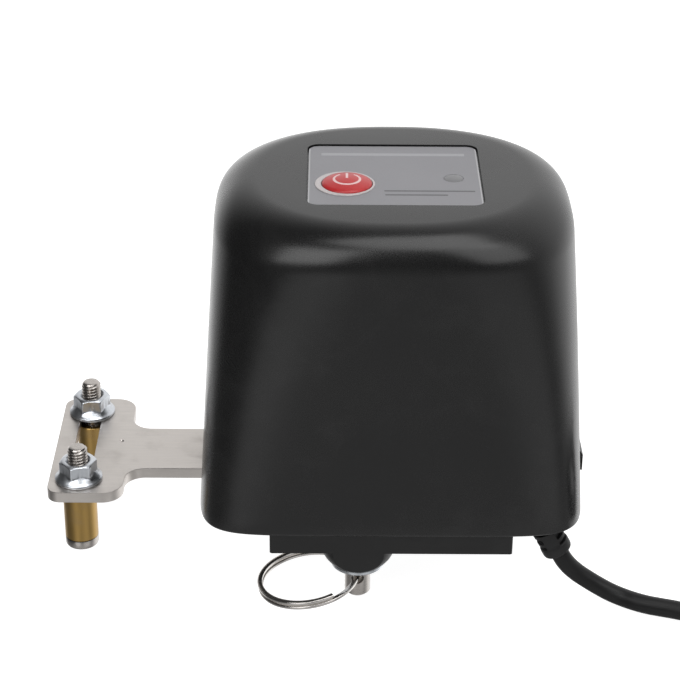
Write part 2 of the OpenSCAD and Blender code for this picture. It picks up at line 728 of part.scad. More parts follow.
// Gear train
module gear_plate() color("#b4b6b8") difference() {
    union() {
        translate([0, 0, gear_plate_z]) linear_extrude(gear_plate_t) hull() {
            for (p = pillar_spots) translate(p) circle(pillar_d / 2 + 1, $fn = 32);
            translate(motor_spot) circle(motor_d / 2, $fn = 32);
            translate(clutch_spot) circle(bush_r + 0.5, $fn = 32);
        }
        at(clutch_spot, spigot_boss_z) cylinder(r = bush_r, h = gear_plate_z - spigot_boss_z + 0.5);
        at(mid_spot, slow_z + slow_face + end_play)
            cylinder(r = mid_boss_r, h = gear_plate_z - slow_z - slow_face);
    }
    at(clutch_spot, spigot_boss_z - 1) cylinder(r = spigot_r + run_fit, h = gear_plate_top);
    at(mid_spot, slow_z) cylinder(r = axle_d / 2 + run_fit, h = gear_plate_top);
    at(out_spot, gear_plate_z - 1) cylinder(r = shaft_d / 2 + bush_wall + run_fit, h = gear_plate_t + 2);
    at(motor_spot, gear_plate_z - 1) cylinder(r = motor_shaft_d / 2 + 1, h = gear_plate_t + 2);
    motor_screw_holes(gear_plate_z - 1, gear_plate_t + 2, motor_shaft_d / 2 + slip_fit);
    for (p = pillar_spots)
        at(p, gear_plate_z - 1) cylinder(r = plate_screw_r + slip_fit, h = gear_plate_t + 2);
}

module gear_pillars() color("silver")
    for (p = pillar_spots) difference() {
        union() {
            at(p, base_t) cylinder(r = pillar_d / 2, h = gear_plate_z - base_t);
            at(p, base_t - pillar_spigot_l) cylinder(r = pillar_spigot_r, h = pillar_spigot_l + 1);
        }
        at(p, gear_plate_z - plate_screw_l - 2) cylinder(r = plate_screw_r + run_fit, h = plate_screw_l + 3);
    }

module plate_screws() color("silver")
    for (p = pillar_spots) {
        at(p, gear_plate_top) cylinder(r = 1.8 * plate_screw_r, h = 2);
        at(p, gear_plate_z - plate_screw_l) cylinder(r = plate_screw_r, h = gear_plate_t + plate_screw_l + 1);
    }

module lower_bush() color("#b08d57") at(out_spot, -out_boss_drop) {
    sleeve(shaft_d / 2 + bush_wall, shaft_d / 2 + run_fit, out_boss_drop + out_boss_top + flange_t);
    translate([0, 0, out_boss_drop + out_boss_top])
        sleeve(shaft_d / 2 + bush_wall + 1.5, shaft_d / 2 + run_fit, flange_t);
}

module upper_bush() color("#b08d57") at(out_spot, gear_plate_z) {
    sleeve(shaft_d / 2 + bush_wall, shaft_d / 2 + run_fit, gear_plate_t + flange_t);
    translate([0, 0, gear_plate_t]) sleeve(shaft_d / 2 + bush_wall + 1.5, shaft_d / 2 + run_fit, flange_t);
}

module output_shaft() color("silver") difference() {
    union() {
        at(out_spot, -plate_drop) cylinder(r = shaft_d / 2, h = plate_drop + gear_plate_top + 3);
        at(out_spot, -plate_drop) cylinder(r = hub_r, h = plate_drop - hub_drop);
        at(out_spot, plate_z + run_fit) linear_extrude(plate_t) square(drive_side, center = true);
    }
    at(out_spot, plate_z - 1) cylinder(r = arm_screw_d / 2 + run_fit, h = arm_screw_l + 1);
}

module output_wheel() color("#d8d4c4") at(out_spot, slow_z) linear_extrude(slow_face) difference() {
    polygon(gear_outline(output_teeth, output_phase));
    circle(shaft_d / 2 + run_fit / 2);
    for (i = [0:5]) rotate([0, 0, 60 * i]) translate([gear_module * output_teeth / 4 + 2, 0]) circle(3.5);
}

module limit_cam() color("#2f2f31") at(out_spot, cam_z) linear_extrude(cam_t) difference() {
    union() {
        circle(cam_r);
        translate([-cam_lobe_r + 3, 0]) circle(3);
        translate([-cam_lobe_r / 2, 0]) square([cam_lobe_r - 6, 6], center = true);
    }
    circle(shaft_d / 2 + run_fit / 2);
}

module limit_switches() color("#26262a")
    for (turn = [90, 180]) at(out_spot, base_t) rotate([0, 0, turn])
        translate([cam_lobe_r + end_play, 0, 0]) {
            translate([micro_size[0] / 2 + 1, 0, micro_size[2] / 2]) cube(micro_size, center = true);
            translate([0, 0, cam_z + cam_t / 2 - base_t]) rotate([0, 90, 0]) cylinder(r = 1, h = 2);
        }

module intermediate_gear() color("#d8d4c4") at(mid_spot, 0) difference() {
    union() {
        translate([0, 0, fast_z]) linear_extrude(fast_face) polygon(gear_outline(large_teeth, large_phase));
        translate([0, 0, fast_z + fast_face - 0.2])
            linear_extrude(slow_z + slow_face - fast_z - fast_face + 0.2)
                polygon(gear_outline(small_teeth, small_phase));
    }
    cylinder(r = axle_d / 2 + run_fit, h = 3 * fast_z);
}

module intermediate_axle() color("silver") at(mid_spot, 1) cylinder(r = axle_d / 2, h = gear_plate_top - 1.4);

// Clutch
module clutch_pin() color("#c4c4c8") difference() {
    union() {
        at(clutch_spot, -pin_reach + 0.8) cylinder(r = pin_d / 2, h = pin_reach - 0.8 + collar_z + 0.2);
        at(clutch_spot, -pin_reach) cylinder(r1 = pin_d / 2 - 0.8, r2 = pin_d / 2, h = 0.8);
        at(clutch_spot, collar_z) cylinder(r = bush_r - 0.25, h = collar_t);
        at(clutch_spot, collar_z) cylinder(r = spigot_r, h = spigot_top - collar_z);
    }
    at(clutch_spot, -pin_hole_drop) rotate([90, 0, 0])
        cylinder(r = pin_hole_d / 2, h = 2 * pin_d, center = true);
}

module clutch_clip() color("#55565a") at(clutch_spot, clip_z)
    sleeve(spigot_r + 1.9, spigot_r + run_fit / 2, clip_t);

module clutch_gear() color("#c9a23c") at(clutch_spot, fast_z + end_play / 2)
    linear_extrude(fast_face - end_play / 2) difference() {
        polygon(gear_outline(clutch_teeth, clutch_phase));
        circle(spigot_r + run_fit);
    }

module clutch_bush() color("#c4c4c8") at(clutch_spot, 0) {
    translate([0, 0, -boss_reach - bush_flange_t])
        sleeve(bush_r, pin_d / 2 + run_fit, boss_reach + bush_flange_t + pocket_z);
    translate([0, 0, -boss_reach - bush_flange_t])
        sleeve(bush_flange_d / 2, pin_d / 2 + run_fit, bush_flange_t);
}

spring_r = pin_d / 2 + slip_fit + spring_wire / 2 + 0.3;
spring_low = pocket_z + spring_wire / 2 + run_fit;
spring_rise = collar_z - pocket_z - spring_wire - 2 * run_fit;
spring_path = [for (i = [0:8 * spring_turns]) let(a = 45 * i)
    [spring_r * cos(a), spring_r * sin(a), spring_low + spring_rise * i / (8 * spring_turns)]];

module clutch_spring() color("silver") at(clutch_spot, 0)
    skin(swept(spring_path, round_profile(spring_wire, 6)));

// Split ring of nearly two flat turns, one of them threaded through the cross hole of the pin
ring_mid_r = ring_d / 2 - ring_wire_w / 2;
ring_step = ring_wire_h + 0.42;
ring_from = 25;
ring_to = 660;
ring_count = 56;
ring_path = [for (i = [0:ring_count]) let(a = ring_from + (ring_to - ring_from) * i / ring_count)
    [ring_mid_r * cos(a), ring_mid_r * sin(a), ring_step * (a / 360 - 1)]];

module split_ring() color("#b9bbc0") at(clutch_spot, -pin_hole_drop) rotate([0, -ring_droop, 0])
    translate([-ring_mid_r, 0, 0])
        skin(swept(ring_path, flat_profile(ring_wire_w, ring_wire_h)));

// Lever and posts
module bar_outline() {
    square([bar_w, bar_l - 2 * bar_round], center = true);
    translate([(bar_corner - bar_round) / 2, 0])
        square([bar_w - bar_corner - bar_round, bar_l], center = true);
    translate([-bar_w / 2, bar_corner - bar_l / 2]) square([2 * bar_corner, bar_l - 2 * bar_corner]);
    for (y = [-1, 1]) {
        translate([bar_corner - bar_w / 2, y * (bar_l / 2 - bar_corner)]) circle(bar_corner);
        translate([bar_w / 2 - bar_round, y * (bar_l / 2 - bar_round)]) circle(bar_round);
    }
}

module lever_outline() {
    bar_x = -bar_reach + bar_w / 2;
    bar_inner = -bar_reach + bar_w;
    translate([bar_x, bar_y]) bar_outline();
    translate([bar_x, out_y - arm_w / 2]) square([-bar_x, arm_w]);
    translate(out_spot) circle(arm_w / 2);
    for (side = [-1, 1]) difference() {
        translate([bar_inner - 1, out_y + side * arm_w / 2 - (side < 0 ? arm_fillet : 1)])
            square([arm_fillet + 1, arm_fillet + 1]);
        translate([bar_inner + arm_fillet, out_y + side * (arm_w / 2 + arm_fillet)]) circle(arm_fillet);
    }
}

module lever_plate() color("#beb6b0") translate([0, 0, plate_z]) linear_extrude(plate_t) difference() {
    lever_outline();
    translate([slot_x, bar_y]) slot_2d(slot_w, slot_l);
    translate(out_spot) square(drive_side + 2 * run_fit, center = true);
}

module arm_washer() color("silver") at(out_spot, plate_z - washer_t)
    sleeve(washer_r, arm_screw_d / 2 + run_fit, washer_t);

module arm_screw() color("silver") {
    head_low = plate_z - washer_t - arm_screw_head_h;
    at(out_spot, head_low) difference() {
        cylinder(r = arm_screw_head_r, h = arm_screw_head_h);
        translate([0, 0, -0.5]) cylinder(r = 2.3, h = 2.5, $fn = 6);
    }
    at(out_spot, head_low + arm_screw_head_h - 0.5)
        cylinder(r = arm_screw_d / 2, h = washer_t + arm_screw_l - 0.5);
}

module clamp_bolt(y) {
    edge = 1;
    translate([slot_x, y, head_z]) rotate_extrude() polygon([[0, 0], [sleeve_d / 2 - edge, 0],
        [sleeve_d / 2 - 0.3 * edge, 0.3 * edge], [sleeve_d / 2, edge], [sleeve_d / 2, head_h], [0, head_h]]);
    translate([slot_x, y, head_z]) cylinder(r = bolt_d / 2, h = stud_top - head_z);
}

module brass_sleeve(y) {
    translate([slot_x, y, sleeve_top - sleeve_l]) sleeve(sleeve_d / 2, bolt_d / 2 + run_fit, sleeve_l);
}

module flange_nut(y, turn) {
    corner_r = nut_af / sqrt(3);
    hole_r = bolt_d / 2 + run_fit;
    translate([slot_x, y, nut_z]) rotate([0, 0, turn]) difference() {
        union() {
            cylinder(r = nut_flange_d / 2, h = nut_flange_t);
            translate([0, 0, nut_flange_t - 0.1])
                cylinder(r1 = nut_flange_d / 2 - 0.3, r2 = nut_af / 2 - 0.3, h = nut_cone_h + 0.1);
            intersection() {
                cylinder(r = corner_r, h = nut_h, $fn = 6);
                cylinder(r1 = nut_top_r + 1.7 * nut_h, r2 = nut_top_r, h = nut_h);
            }
        }
        translate([0, 0, -1]) cylinder(r = hole_r, h = nut_h + 2);
        translate([0, 0, nut_h - nut_sink - 0.3])
            cylinder(r1 = hole_r - 0.3, r2 = hole_r + nut_sink + 0.1, h = nut_sink + 0.4);
    }
}

module front_bolt() color("#c4c4c8") clamp_bolt(front_post_y);
module rear_bolt() color("#c4c4c8") clamp_bolt(rear_post_y);
module front_sleeve() color("#b08a3c") brass_sleeve(front_post_y);
module rear_sleeve() color("#b08a3c") brass_sleeve(rear_post_y);
module front_nut() color("#c6ccd4") flange_nut(front_post_y, front_nut_turn);
module rear_nut() color("#c6ccd4") flange_nut(rear_post_y, rear_nut_turn);

// Cable, strain relief, coil and plug
module cable_gland() color("#1b1b1c") translate([gland_x, -gland_y, 0]) {
    translate([0, 0, -2]) cylinder(r = gland_flange_r, h = 2 - run_fit);
    translate([0, 0, -1]) cylinder(r = gland_hole_r, h = base_t + 2);
    translate([0, 0, base_t + run_fit]) cylinder(r = gland_hole_r + 1, h = 1.2);
    rotate([0, -gland_lean, 0]) rotate_extrude() polygon([[0, -2], [4.2, -2], [4.1, -5], [3.7, -5.4],
        [3.7, -6.2], [4.1, -6.6], [3.9, -8.6], [3.5, -9], [3.5, -9.8], [4.3, -10.2],
        [4.3, -gland_l + 0.5], [3.8, -gland_l], [0, -gland_l]]);
}

module cable_run() color("#2a2a2b") skin(swept(cable_route, round_profile(cable_d, 10)));

// Turns that spiral in on the lower layer, climb half a turn and spiral out again
function coil_point(r, turn, z) = [coil_centre[0] + r * cos(360 * turn - 90),
    coil_centre[1] + r * sin(360 * turn - 90), z];
coil_path = concat([coil_start],
    [for (i = [0:coil_turns_in * coil_ring_count]) let(t = i / coil_ring_count)
        coil_point(coil_r - t * coil_step, t, coil_start[2])],
    [for (i = [1:coil_ring_count / 2]) let(t = i / coil_ring_count)
        coil_point(coil_inner_r, coil_turns_in + t, coil_start[2] + 2 * t * coil_step)],
    [for (i = [1:coil_turns_out * coil_ring_count]) let(t = i / coil_ring_count)
        coil_point(coil_inner_r + t * coil_step, coil_turns_in + 0.5 + t, coil_top_z)],
    cable_tail);

module cable_coil() color("#2a2a2b") skin(swept(coil_path, round_profile(cable_d, 6)));

module coil_tie() color("#111112") {
    low_r = coil_r - (tie_turn + 2) * coil_step - cable_d / 2 - slip_fit;
    high_r = coil_r - tie_turn * coil_step + cable_d / 2 + slip_fit;
    low_z = coil_start[2] - cable_d / 2 - slip_fit / 2;
    high_z = coil_top_z + cable_d / 2 + slip_fit;
    translate([coil_centre[0], coil_centre[1], 0]) rotate([90, 0, tie_angle])
        translate([0, 0, -tie_w / 2]) linear_extrude(tie_w) difference() {
            translate([low_r - tie_t, low_z - tie_t])
                square([high_r - low_r + 2 * tie_t, high_z - low_z + 2 * tie_t]);
            translate([low_r, low_z]) square([high_r - low_r, high_z - low_z]);
        }
}

module dc_plug() color("#19191a") translate(plug_start) rotate([-90, 0, 0]) {
    rotate_extrude() polygon([[0, 0], [cable_d / 2 + 0.7, 0], [plug_d / 2 - 0.6, 9], [plug_d / 2, 10],
        [plug_d / 2, 24], [plug_d / 2 - 0.8, 25], [0, 25]]);
    translate([0, 0, 24]) difference() {
        cylinder(r = 2.75, h = 10.5);
        translate([0, 0, 3]) cylinder(r = 1.05, h = 10);
    }
}

module power_lead() color("#333335")
    skin(swept(power_lead_route, round_profile(power_lead_d, 8), [0, 1, 0]));

module motor_leads() color("#a03030")
    for (x = [-1, 1]) {
        low = [motor_spot[0] + x * tab_gap, motor_spot[1], end_cap_z + end_cap_h + tab_h + 0.1];
        top = [motor_terminal[0] + x * 2, motor_terminal[1], board_z - terminal_h];
        skin(swept([low, low + lead_rise, (low + top) / 2, top - lead_rise, top],
            round_profile(motor_lead_d, 8), [1, 0, 0]));
    }

echo("least gap of the coil to itself", least_gap(coil_path, coil_ring_count / 2, cable_d));
echo("least gap of the spring to itself", least_gap(spring_path, 4, spring_wire));
echo("height of the gap between the split ring's turns", ring_step - ring_wire_h);

// Puts the centre of the bracket holes, on the block's underside, at the origin
module place() {
    translate([0, -block_y, -mount_z]) children();
}

place() top_cover();
place() base_frame();
place() cover_screws();
place() label_panel();
place() led_lens();
place() power_button();
place() control_board();
place() board_screws();
place() tact_switch();
place() switch_plunger();
place() radio_module();
place() status_led();
place() power_capacitors();
place() motor_driver();
place() wire_terminals();
place() motor_gearhead();
place() motor_can();
place() motor_end_cap();
place() motor_screws();
place() motor_shaft();
place() motor_pinion();
place() gear_plate();
place() gear_pillars();
place() plate_screws();
place() lower_bush();
place() upper_bush();
place() output_shaft();
place() output_wheel();
place() limit_cam();
place() limit_switches();
place() intermediate_gear();
place() intermediate_axle();
place() clutch_pin();
place() clutch_clip();
place() clutch_gear();
place() clutch_bush();
place() clutch_spring();
place() lever_plate();
place() arm_washer();
place() arm_screw();
place() front_bolt();
place() front_sleeve();
place() front_nut();
place() rear_bolt();
place() rear_sleeve();
place() rear_nut();
place() split_ring();
place() cable_gland();
place() power_lead();
place() motor_leads();
place() cable_run();
place() cable_coil();
place() coil_tie();
place() dc_plug();
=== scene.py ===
"""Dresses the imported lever-valve actuator for a studio picture.

Lengths are in metres in the CAD part's own frame: X to the right, Y to the back, Z up, with the origin
between the four bracket holes. Sizes that follow the drawing are given in millimetres from the middle of
the cover's rim, and spot() turns them into the frame.
"""

import json
import math

import bmesh
import bpy
from bpy.props import FloatProperty, FloatVectorProperty, IntProperty, PointerProperty
from mathutils import Matrix, Vector

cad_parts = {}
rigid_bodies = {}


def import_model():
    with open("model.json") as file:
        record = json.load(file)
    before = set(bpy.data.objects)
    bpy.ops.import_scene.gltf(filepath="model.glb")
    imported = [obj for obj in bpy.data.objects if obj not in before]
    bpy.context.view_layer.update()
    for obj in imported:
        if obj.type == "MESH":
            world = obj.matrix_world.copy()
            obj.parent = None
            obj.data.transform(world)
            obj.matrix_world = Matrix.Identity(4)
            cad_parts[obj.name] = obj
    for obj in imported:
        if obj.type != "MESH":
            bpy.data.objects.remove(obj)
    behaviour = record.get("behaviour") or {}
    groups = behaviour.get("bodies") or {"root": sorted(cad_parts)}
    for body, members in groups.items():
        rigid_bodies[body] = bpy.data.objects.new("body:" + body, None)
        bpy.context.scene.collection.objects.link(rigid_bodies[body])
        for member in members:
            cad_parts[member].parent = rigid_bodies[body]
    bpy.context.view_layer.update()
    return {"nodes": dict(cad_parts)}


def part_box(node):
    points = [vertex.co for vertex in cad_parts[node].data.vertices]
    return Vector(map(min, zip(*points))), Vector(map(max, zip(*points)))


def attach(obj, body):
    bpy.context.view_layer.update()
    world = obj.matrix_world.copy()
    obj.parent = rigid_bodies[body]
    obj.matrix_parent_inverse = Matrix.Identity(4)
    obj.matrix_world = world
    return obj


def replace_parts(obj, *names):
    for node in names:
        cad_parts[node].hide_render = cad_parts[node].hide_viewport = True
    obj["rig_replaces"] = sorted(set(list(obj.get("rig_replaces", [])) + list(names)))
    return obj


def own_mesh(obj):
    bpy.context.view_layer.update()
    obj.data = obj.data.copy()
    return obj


bl_info = {
    "name": "Lever Valve Actuator",
    "version": (1, 0, 0),
    "blender": (4, 5, 0),
    "location": "3D View > Sidebar > Actuator",
    "description": "Dresses the CAD frame of a motorised lever-valve actuator",
    "category": "Object",
}

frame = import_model()
MM = 0.001
MERGE = 1e-6


def over(node, z):
    """Point on the upright axis of a node's box, at a height."""
    low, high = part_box(node)
    return Vector(((low.x + high.x) / 2, (low.y + high.y) / 2, z))


COVER_LOW, COVER_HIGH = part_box("top_cover")
RIM = over("top_cover", COVER_LOW.z)
FLOOR_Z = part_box("front_bolt")[0].z


def spot(x, y, z):
    """Point of the frame from millimetres off the middle of the cover's rim."""
    return RIM + Vector((x, y, z)) * MM


# Sizes and colours that a user would change


def amount(name, text, value, unit="LENGTH"):
    """Number property, a length unless told otherwise."""
    return FloatProperty(name=name, description=text, default=value, unit=unit)


def shade(name, text, colour):
    """Colour property of a finish."""
    return FloatVectorProperty(
        name=name, description=text, default=colour, subtype="COLOR", min=0.0, max=1.0
    )


class CoverShape(bpy.types.PropertyGroup):
    """Shape of the moulded top cover"""

    height: amount("Height", "Rim to top face", COVER_HIGH.z - COVER_LOW.z)
    rim_width: amount("Rim width", "Width at the rim", COVER_HIGH.x - COVER_LOW.x)
    rim_depth: amount("Rim depth", "Depth at the rim", COVER_HIGH.y - COVER_LOW.y)
    top_width: amount("Top width", "Width at the top, unrounded", 0.0995)
    top_depth: amount("Top depth", "Depth at the top, unrounded", 0.089)
    shoulder: amount("Shoulder", "Radius round the top face", 0.0115)
    rim_squareness: amount("Rim squareness", "2 is an ellipse, higher is squarer", 7.6, "NONE")
    top_squareness: amount("Top squareness", "2 is an ellipse, higher is squarer", 2.3, "NONE")
    wall: amount("Wall", "Thickness of the moulding", 0.0024)
    rim_round: amount("Rim rounding", "Rounding of the bottom rim", 0.0012)
    around: IntProperty(name="Points around", description="Points on each ring of the cover", default=160)


class ControlSizes(bpy.types.PropertyGroup):
    """Label, button and light window"""

    label_gap: amount("Label gap", "Gap round the label", 0.0004)
    label_corner: amount("Label corner", "Corner radius of the label", 0.003)
    recess: amount("Recess", "Depth of the label's recess", 0.0009)
    button_edge: amount("Button edge", "Rounding of the button's rim", 0.0005)
    symbol_radius: amount("Symbol radius", "Radius of the standby arc", 0.0036)
    symbol_line: amount("Symbol line", "Half the width of the symbol's line", 0.00034)
    bezel_width: amount("Bezel width", "Width of the pale ring", 0.0012)
    bezel_shift: amount("Bezel shift", "Offset of the pale ring's rim", 0.00055)


class HardwareSizes(bpy.types.PropertyGroup):
    """Lever, posts and pull pin"""

    edge: amount("Edge", "Rounding of cut metal edges", 0.00028)
    thread_pitch: amount("Thread pitch", "Pitch of the studs", 0.001)
    thread_depth: amount("Thread depth", "Depth of the studs' thread", 0.00062)
    nut_flats: amount("Nut flats", "Nut across its flats", 0.010)


class CableLay(bpy.types.PropertyGroup):
    """Power cable and its coil"""

    diameter: amount("Diameter", "Diameter of the cable", 0.0054)
    coil_radius: amount("Coil radius", "Middle of the coil's outer turn", 0.0335)
    coil_step: amount("Coil step", "Distance between turns", 0.0059)


class StudioSetup(bpy.types.PropertyGroup):
    """Camera, floor and lights"""

    camera_place: FloatVectorProperty(
        name="Camera", description="Place of the camera", default=(-0.01744, -0.51067, 0.331),
        subtype="TRANSLATION", unit="LENGTH",
    )
    camera_aim: FloatVectorProperty(
        name="Aim", description="Direction of view", default=(0.0044, 0.8853, -0.46501), subtype="DIRECTION"
    )
    camera_roll: FloatProperty(
        name="Roll", description="Turn of the camera about its view", default=math.radians(0.45),
        subtype="ANGLE",
    )
    lens: amount("Lens", "Focal length in millimetres", 111.18, "CAMERA")
    top_power: amount("Top light", "Power of the overhead softbox", 4.1, "POWER")
    left_power: amount("Left light", "Power of the softbox at the front left", 4.1, "POWER")
    right_power: amount("Right light", "Power of the softbox at the front right", 2.6, "POWER")
    room: amount("Room", "Strength of the dark side of the room", 0.04, "NONE")
    floor_glow: amount("Floor glow", "Light of the lit floor itself", 0.93, "NONE")


class FinishColours(bpy.types.PropertyGroup):
    """Base colours of the finishes"""

    cover: shade("Cover", "Moulded cover", (0.007, 0.007, 0.0071))
    # Partly painted shade: darker than the cover so the boss and block look shaded under the cover; the rest
    # is the moulding's own black.
    base: shade("Base", "Base frame, mounting block and plug", (0.005, 0.005, 0.0051))
    label: shade("Label", "Printed film", (0.2, 0.198, 0.211))
    print_pale: shade("Pale print", "Pale line on the label", (0.28, 0.28, 0.295))
    # Painted highlight: a pale band on three edges of the label, where the raised film catches the light.
    painted_edge_highlight: shade("Label edge highlight", "Painted highlight on the film's edge", (0.36, 0.36, 0.37))
    print_dark: shade("Dark print", "Dark lines on the label", (0.075, 0.075, 0.08))
    button: shade("Button", "Push button", (0.4, 0.022, 0.024))
    symbol: shade("Symbol", "Standby symbol", (0.62, 0.42, 0.42))
    bezel: shade("Bezel", "Pale ring round the button", (0.4, 0.37, 0.37))
    lens: shade("Light window", "Frosted window", (0.14, 0.14, 0.145))
    plate: shade("Lever plate", "Nickel plating", (0.6, 0.565, 0.535))
    zinc: shade("Nuts and bush", "Zinc plating", (0.59, 0.615, 0.65))
    stud: shade("Studs and pin", "Plated steel", (0.47, 0.44, 0.415))
    steel: shade("Ring and shafts", "Bright steel", (0.62, 0.595, 0.57))
    brass: shade("Sleeves and gears", "Turned brass", (0.41, 0.265, 0.09))
    cable: shade("Cable", "Cable jacket and strain relief", (0.009, 0.009, 0.0093))


# Meshes


FLAT_ANGLE = math.radians(0.6)
CORNER_ANGLE = math.radians(28.0)


def turns(count):
    """Angle, cosine and sine of equal steps round a circle."""
    for i in range(count):
        a = math.tau * i / count
        yield a, math.cos(a), math.sin(a)


def ring_loop(bm, points):
    """Closed loop of edges through the points, made from a circle."""
    made = bmesh.ops.create_circle(bm, cap_ends=False, radius=1.0, segments=len(points))["verts"]
    for vert, point in zip(made, points):
        vert.co = point
    return made, list(dict.fromkeys(edge for vert in made for edge in vert.link_edges))


def extrude_loop(bm, edges):
    """Extrudes a loop of edges in place. Returns its new verts and edges."""
    made = bmesh.ops.extrude_edge_only(bm, edges=edges)["geom"]
    verts = {g for g in made if isinstance(g, bmesh.types.BMVert)}
    return verts, [g for g in made if isinstance(g, bmesh.types.BMEdge) and set(g.verts) <= verts]


def loft(bm, rings, closed=False, caps=False):
    """Skin over rings of points that all have the same count. Returns the last ring's edges."""
    step = bm.verts.layers.int.get("step") or bm.verts.layers.int.new("step")
    first, first_edges = ring_loop(bm, rings[0])
    for i, vert in enumerate(first):
        vert[step] = i
    edges = first_edges
    for ring in rings[1:]:
        fresh, edges = extrude_loop(bm, edges)
        for vert in fresh:
            vert.co = ring[vert[step]]
    if closed:
        bmesh.ops.bridge_loops(bm, edges=first_edges + edges)
    if caps:
        bmesh.ops.edgeloop_fill(bm, edges=first_edges)
        bmesh.ops.edgeloop_fill(bm, edges=edges)
    return edges


def turned(profile, place, segments=64):
    """Spins a profile of (radius, height) pairs in millimetres about the Z axis of place."""
    bm = bmesh.new()
    verts = [bm.verts.new((r * MM, 0.0, z * MM)) for r, z in profile]
    edges = [bm.edges.new(pair) for pair in zip(verts, verts[1:])]
    bmesh.ops.spin(
        bm, geom=verts + edges, cent=(0, 0, 0), axis=(0, 0, 1), angle=math.tau, steps=segments,
        use_merge=True,
    )
    bmesh.ops.remove_doubles(bm, verts=bm.verts, dist=MERGE)
    bmesh.ops.transform(bm, matrix=place, verts=bm.verts)
    return bm


def join(bm, other):
    """Adds a second bmesh to the first and frees it."""
    mesh = bpy.data.meshes.new("joined")
    other.to_mesh(mesh)
    other.free()
    bm.from_mesh(mesh)
    bpy.data.meshes.remove(mesh)


def to_object(bm, name):
    """Object of a bmesh, which is freed."""
    mesh = bpy.data.meshes.new(name)
    bm.to_mesh(mesh)
    bm.free()
    made = bpy.data.objects.new(name, mesh)
    bpy.context.scene.collection.objects.link(made)
    return made


def smooth(mesh, sharp):
    """Smooth faces, with edges that stay sharp over an angle."""
    mesh.shade_smooth()
    mesh.set_sharp_from_angle(angle=math.radians(sharp))


def settle(piece, body, stands_for=()):
    """Hangs a piece on a body and tells which nodes it stands for."""
    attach(piece, body)
    if stands_for:
        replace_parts(piece, *stands_for)
    return piece


def set_piece(bm, name, body, look, stands_for=(), sharp=35.0):
    """Makes an object of a bmesh, sets it on its body and gives it its finish."""
    bmesh.ops.remove_doubles(bm, verts=bm.verts, dist=MERGE)
    bmesh.ops.recalc_face_normals(bm, faces=bm.faces)
    piece = to_object(bm, name)
    smooth(piece.data, sharp)
    piece.data.materials.append(look)
    return settle(piece, body, stands_for)


def dress(node, name, body, look, edge, sharp=18.0):
    """Piece that is a merged copy of a CAD node's mesh, with its sharp edges rounded."""
    bm = bmesh.new()
    bm.from_mesh(frame["nodes"][node].data)
    bmesh.ops.remove_doubles(bm, verts=bm.verts, dist=2 * MERGE)
    bmesh.ops.dissolve_limit(
        bm, angle_limit=FLAT_ANGLE, verts=bm.verts, edges=bm.edges, use_dissolve_boundaries=False
    )
    corners = [e for e in bm.edges if e.is_manifold and e.calc_face_angle() > CORNER_ANGLE]
    bmesh.ops.bevel(
        bm, geom=corners, offset=edge, offset_type="OFFSET", segments=2, profile=0.5, affect="EDGES",
        clamp_overlap=True, material=-1,
    )
    return set_piece(bm, name, body, look, (node,), sharp)


def bake_modifiers(piece, sharp=35.0):
    """Turns the piece's modifiers into mesh."""
    graph = bpy.context.evaluated_depsgraph_get()
    mesh = bpy.data.meshes.new_from_object(piece.evaluated_get(graph))
    old = piece.data
    piece.modifiers.clear()
    piece.data = mesh
    bpy.data.meshes.remove(old)
    smooth(mesh, sharp)


def cut_away(piece, tool, sharp=35.0):
    """Cuts a bmesh out of a piece."""
    cutter = to_object(tool, "tool")
    cut = piece.modifiers.new("Cut", "BOOLEAN")
    cut.operation = "DIFFERENCE"
    cut.solver = "EXACT"
    cut.object = cutter
    bake_modifiers(piece, sharp)
    mesh = cutter.data
    bpy.data.objects.remove(cutter)
    bpy.data.meshes.remove(mesh)


def circle(centre, radius, count):
    """Points of a level circle."""
    return [centre + Vector((radius * c, radius * s, 0)) for _, c, s in turns(count)]


def rounded_rect(centre, width, depth, corner, per_corner=9):
    """Points of a level rounded rectangle."""
    points = []
    for quarter, (sx, sy) in enumerate(((1, 1), (-1, 1), (-1, -1), (1, -1))):
        middle = centre + Vector((sx * (width / 2 - corner), sy * (depth / 2 - corner), 0))
        for k in range(per_corner):
            a = math.pi / 2 * (quarter + k / (per_corner - 1))
            points.append(middle + Vector((corner * math.cos(a), corner * math.sin(a), 0)))
    return points


# Finishes


MARK_TINT = 0.35
MARK_DULLING = 0.35
NODE_ROWS = 4
NODE_START = Vector((-1800, 300))
NODE_STEP = Vector((220, -280))


def feed(tree, socket, value):
    """Links an input to a socket, or sets it to a value."""
    if isinstance(value, bpy.types.NodeSocket):
        tree.links.new(value, socket)
    elif value is not None:
        socket.default_value = value


def add_node(tree, kind, group=None, **inputs):
    """Adds a node in a grid and feeds its inputs by name, with spaces written as underscores."""
    place = Vector(divmod(len(tree.nodes), NODE_ROWS))
    made = tree.nodes.new(kind)
    made.location = NODE_START + NODE_STEP * place
    if group:
        made.node_tree = group
    for key, value in inputs.items():
        feed(tree, made.inputs[key.replace("_", " ")], value)
    return made


def math_node(tree, operation, a, b=None, kind="ShaderNodeMath"):
    """Math node whose inputs are sockets or values. Returns its last output that is in use."""
    made = add_node(tree, kind)
    made.operation = operation
    feed(tree, made.inputs[0], a)
    feed(tree, made.inputs[1], b)
    return [socket for socket in made.outputs if socket.enabled][-1]


def mix_colour(tree, mask, a, b, blend="MIX"):
    """Colour mix of sockets or colours. Returns its output."""
    made = add_node(tree, "ShaderNodeMix")
    made.data_type = "RGBA"
    made.blend_type = blend
    for i, value in ((0, mask), (6, a), (7, b)):
        feed(tree, made.inputs[i], (*value, 1.0) if isinstance(value, tuple) else value)
    return made.outputs[2]


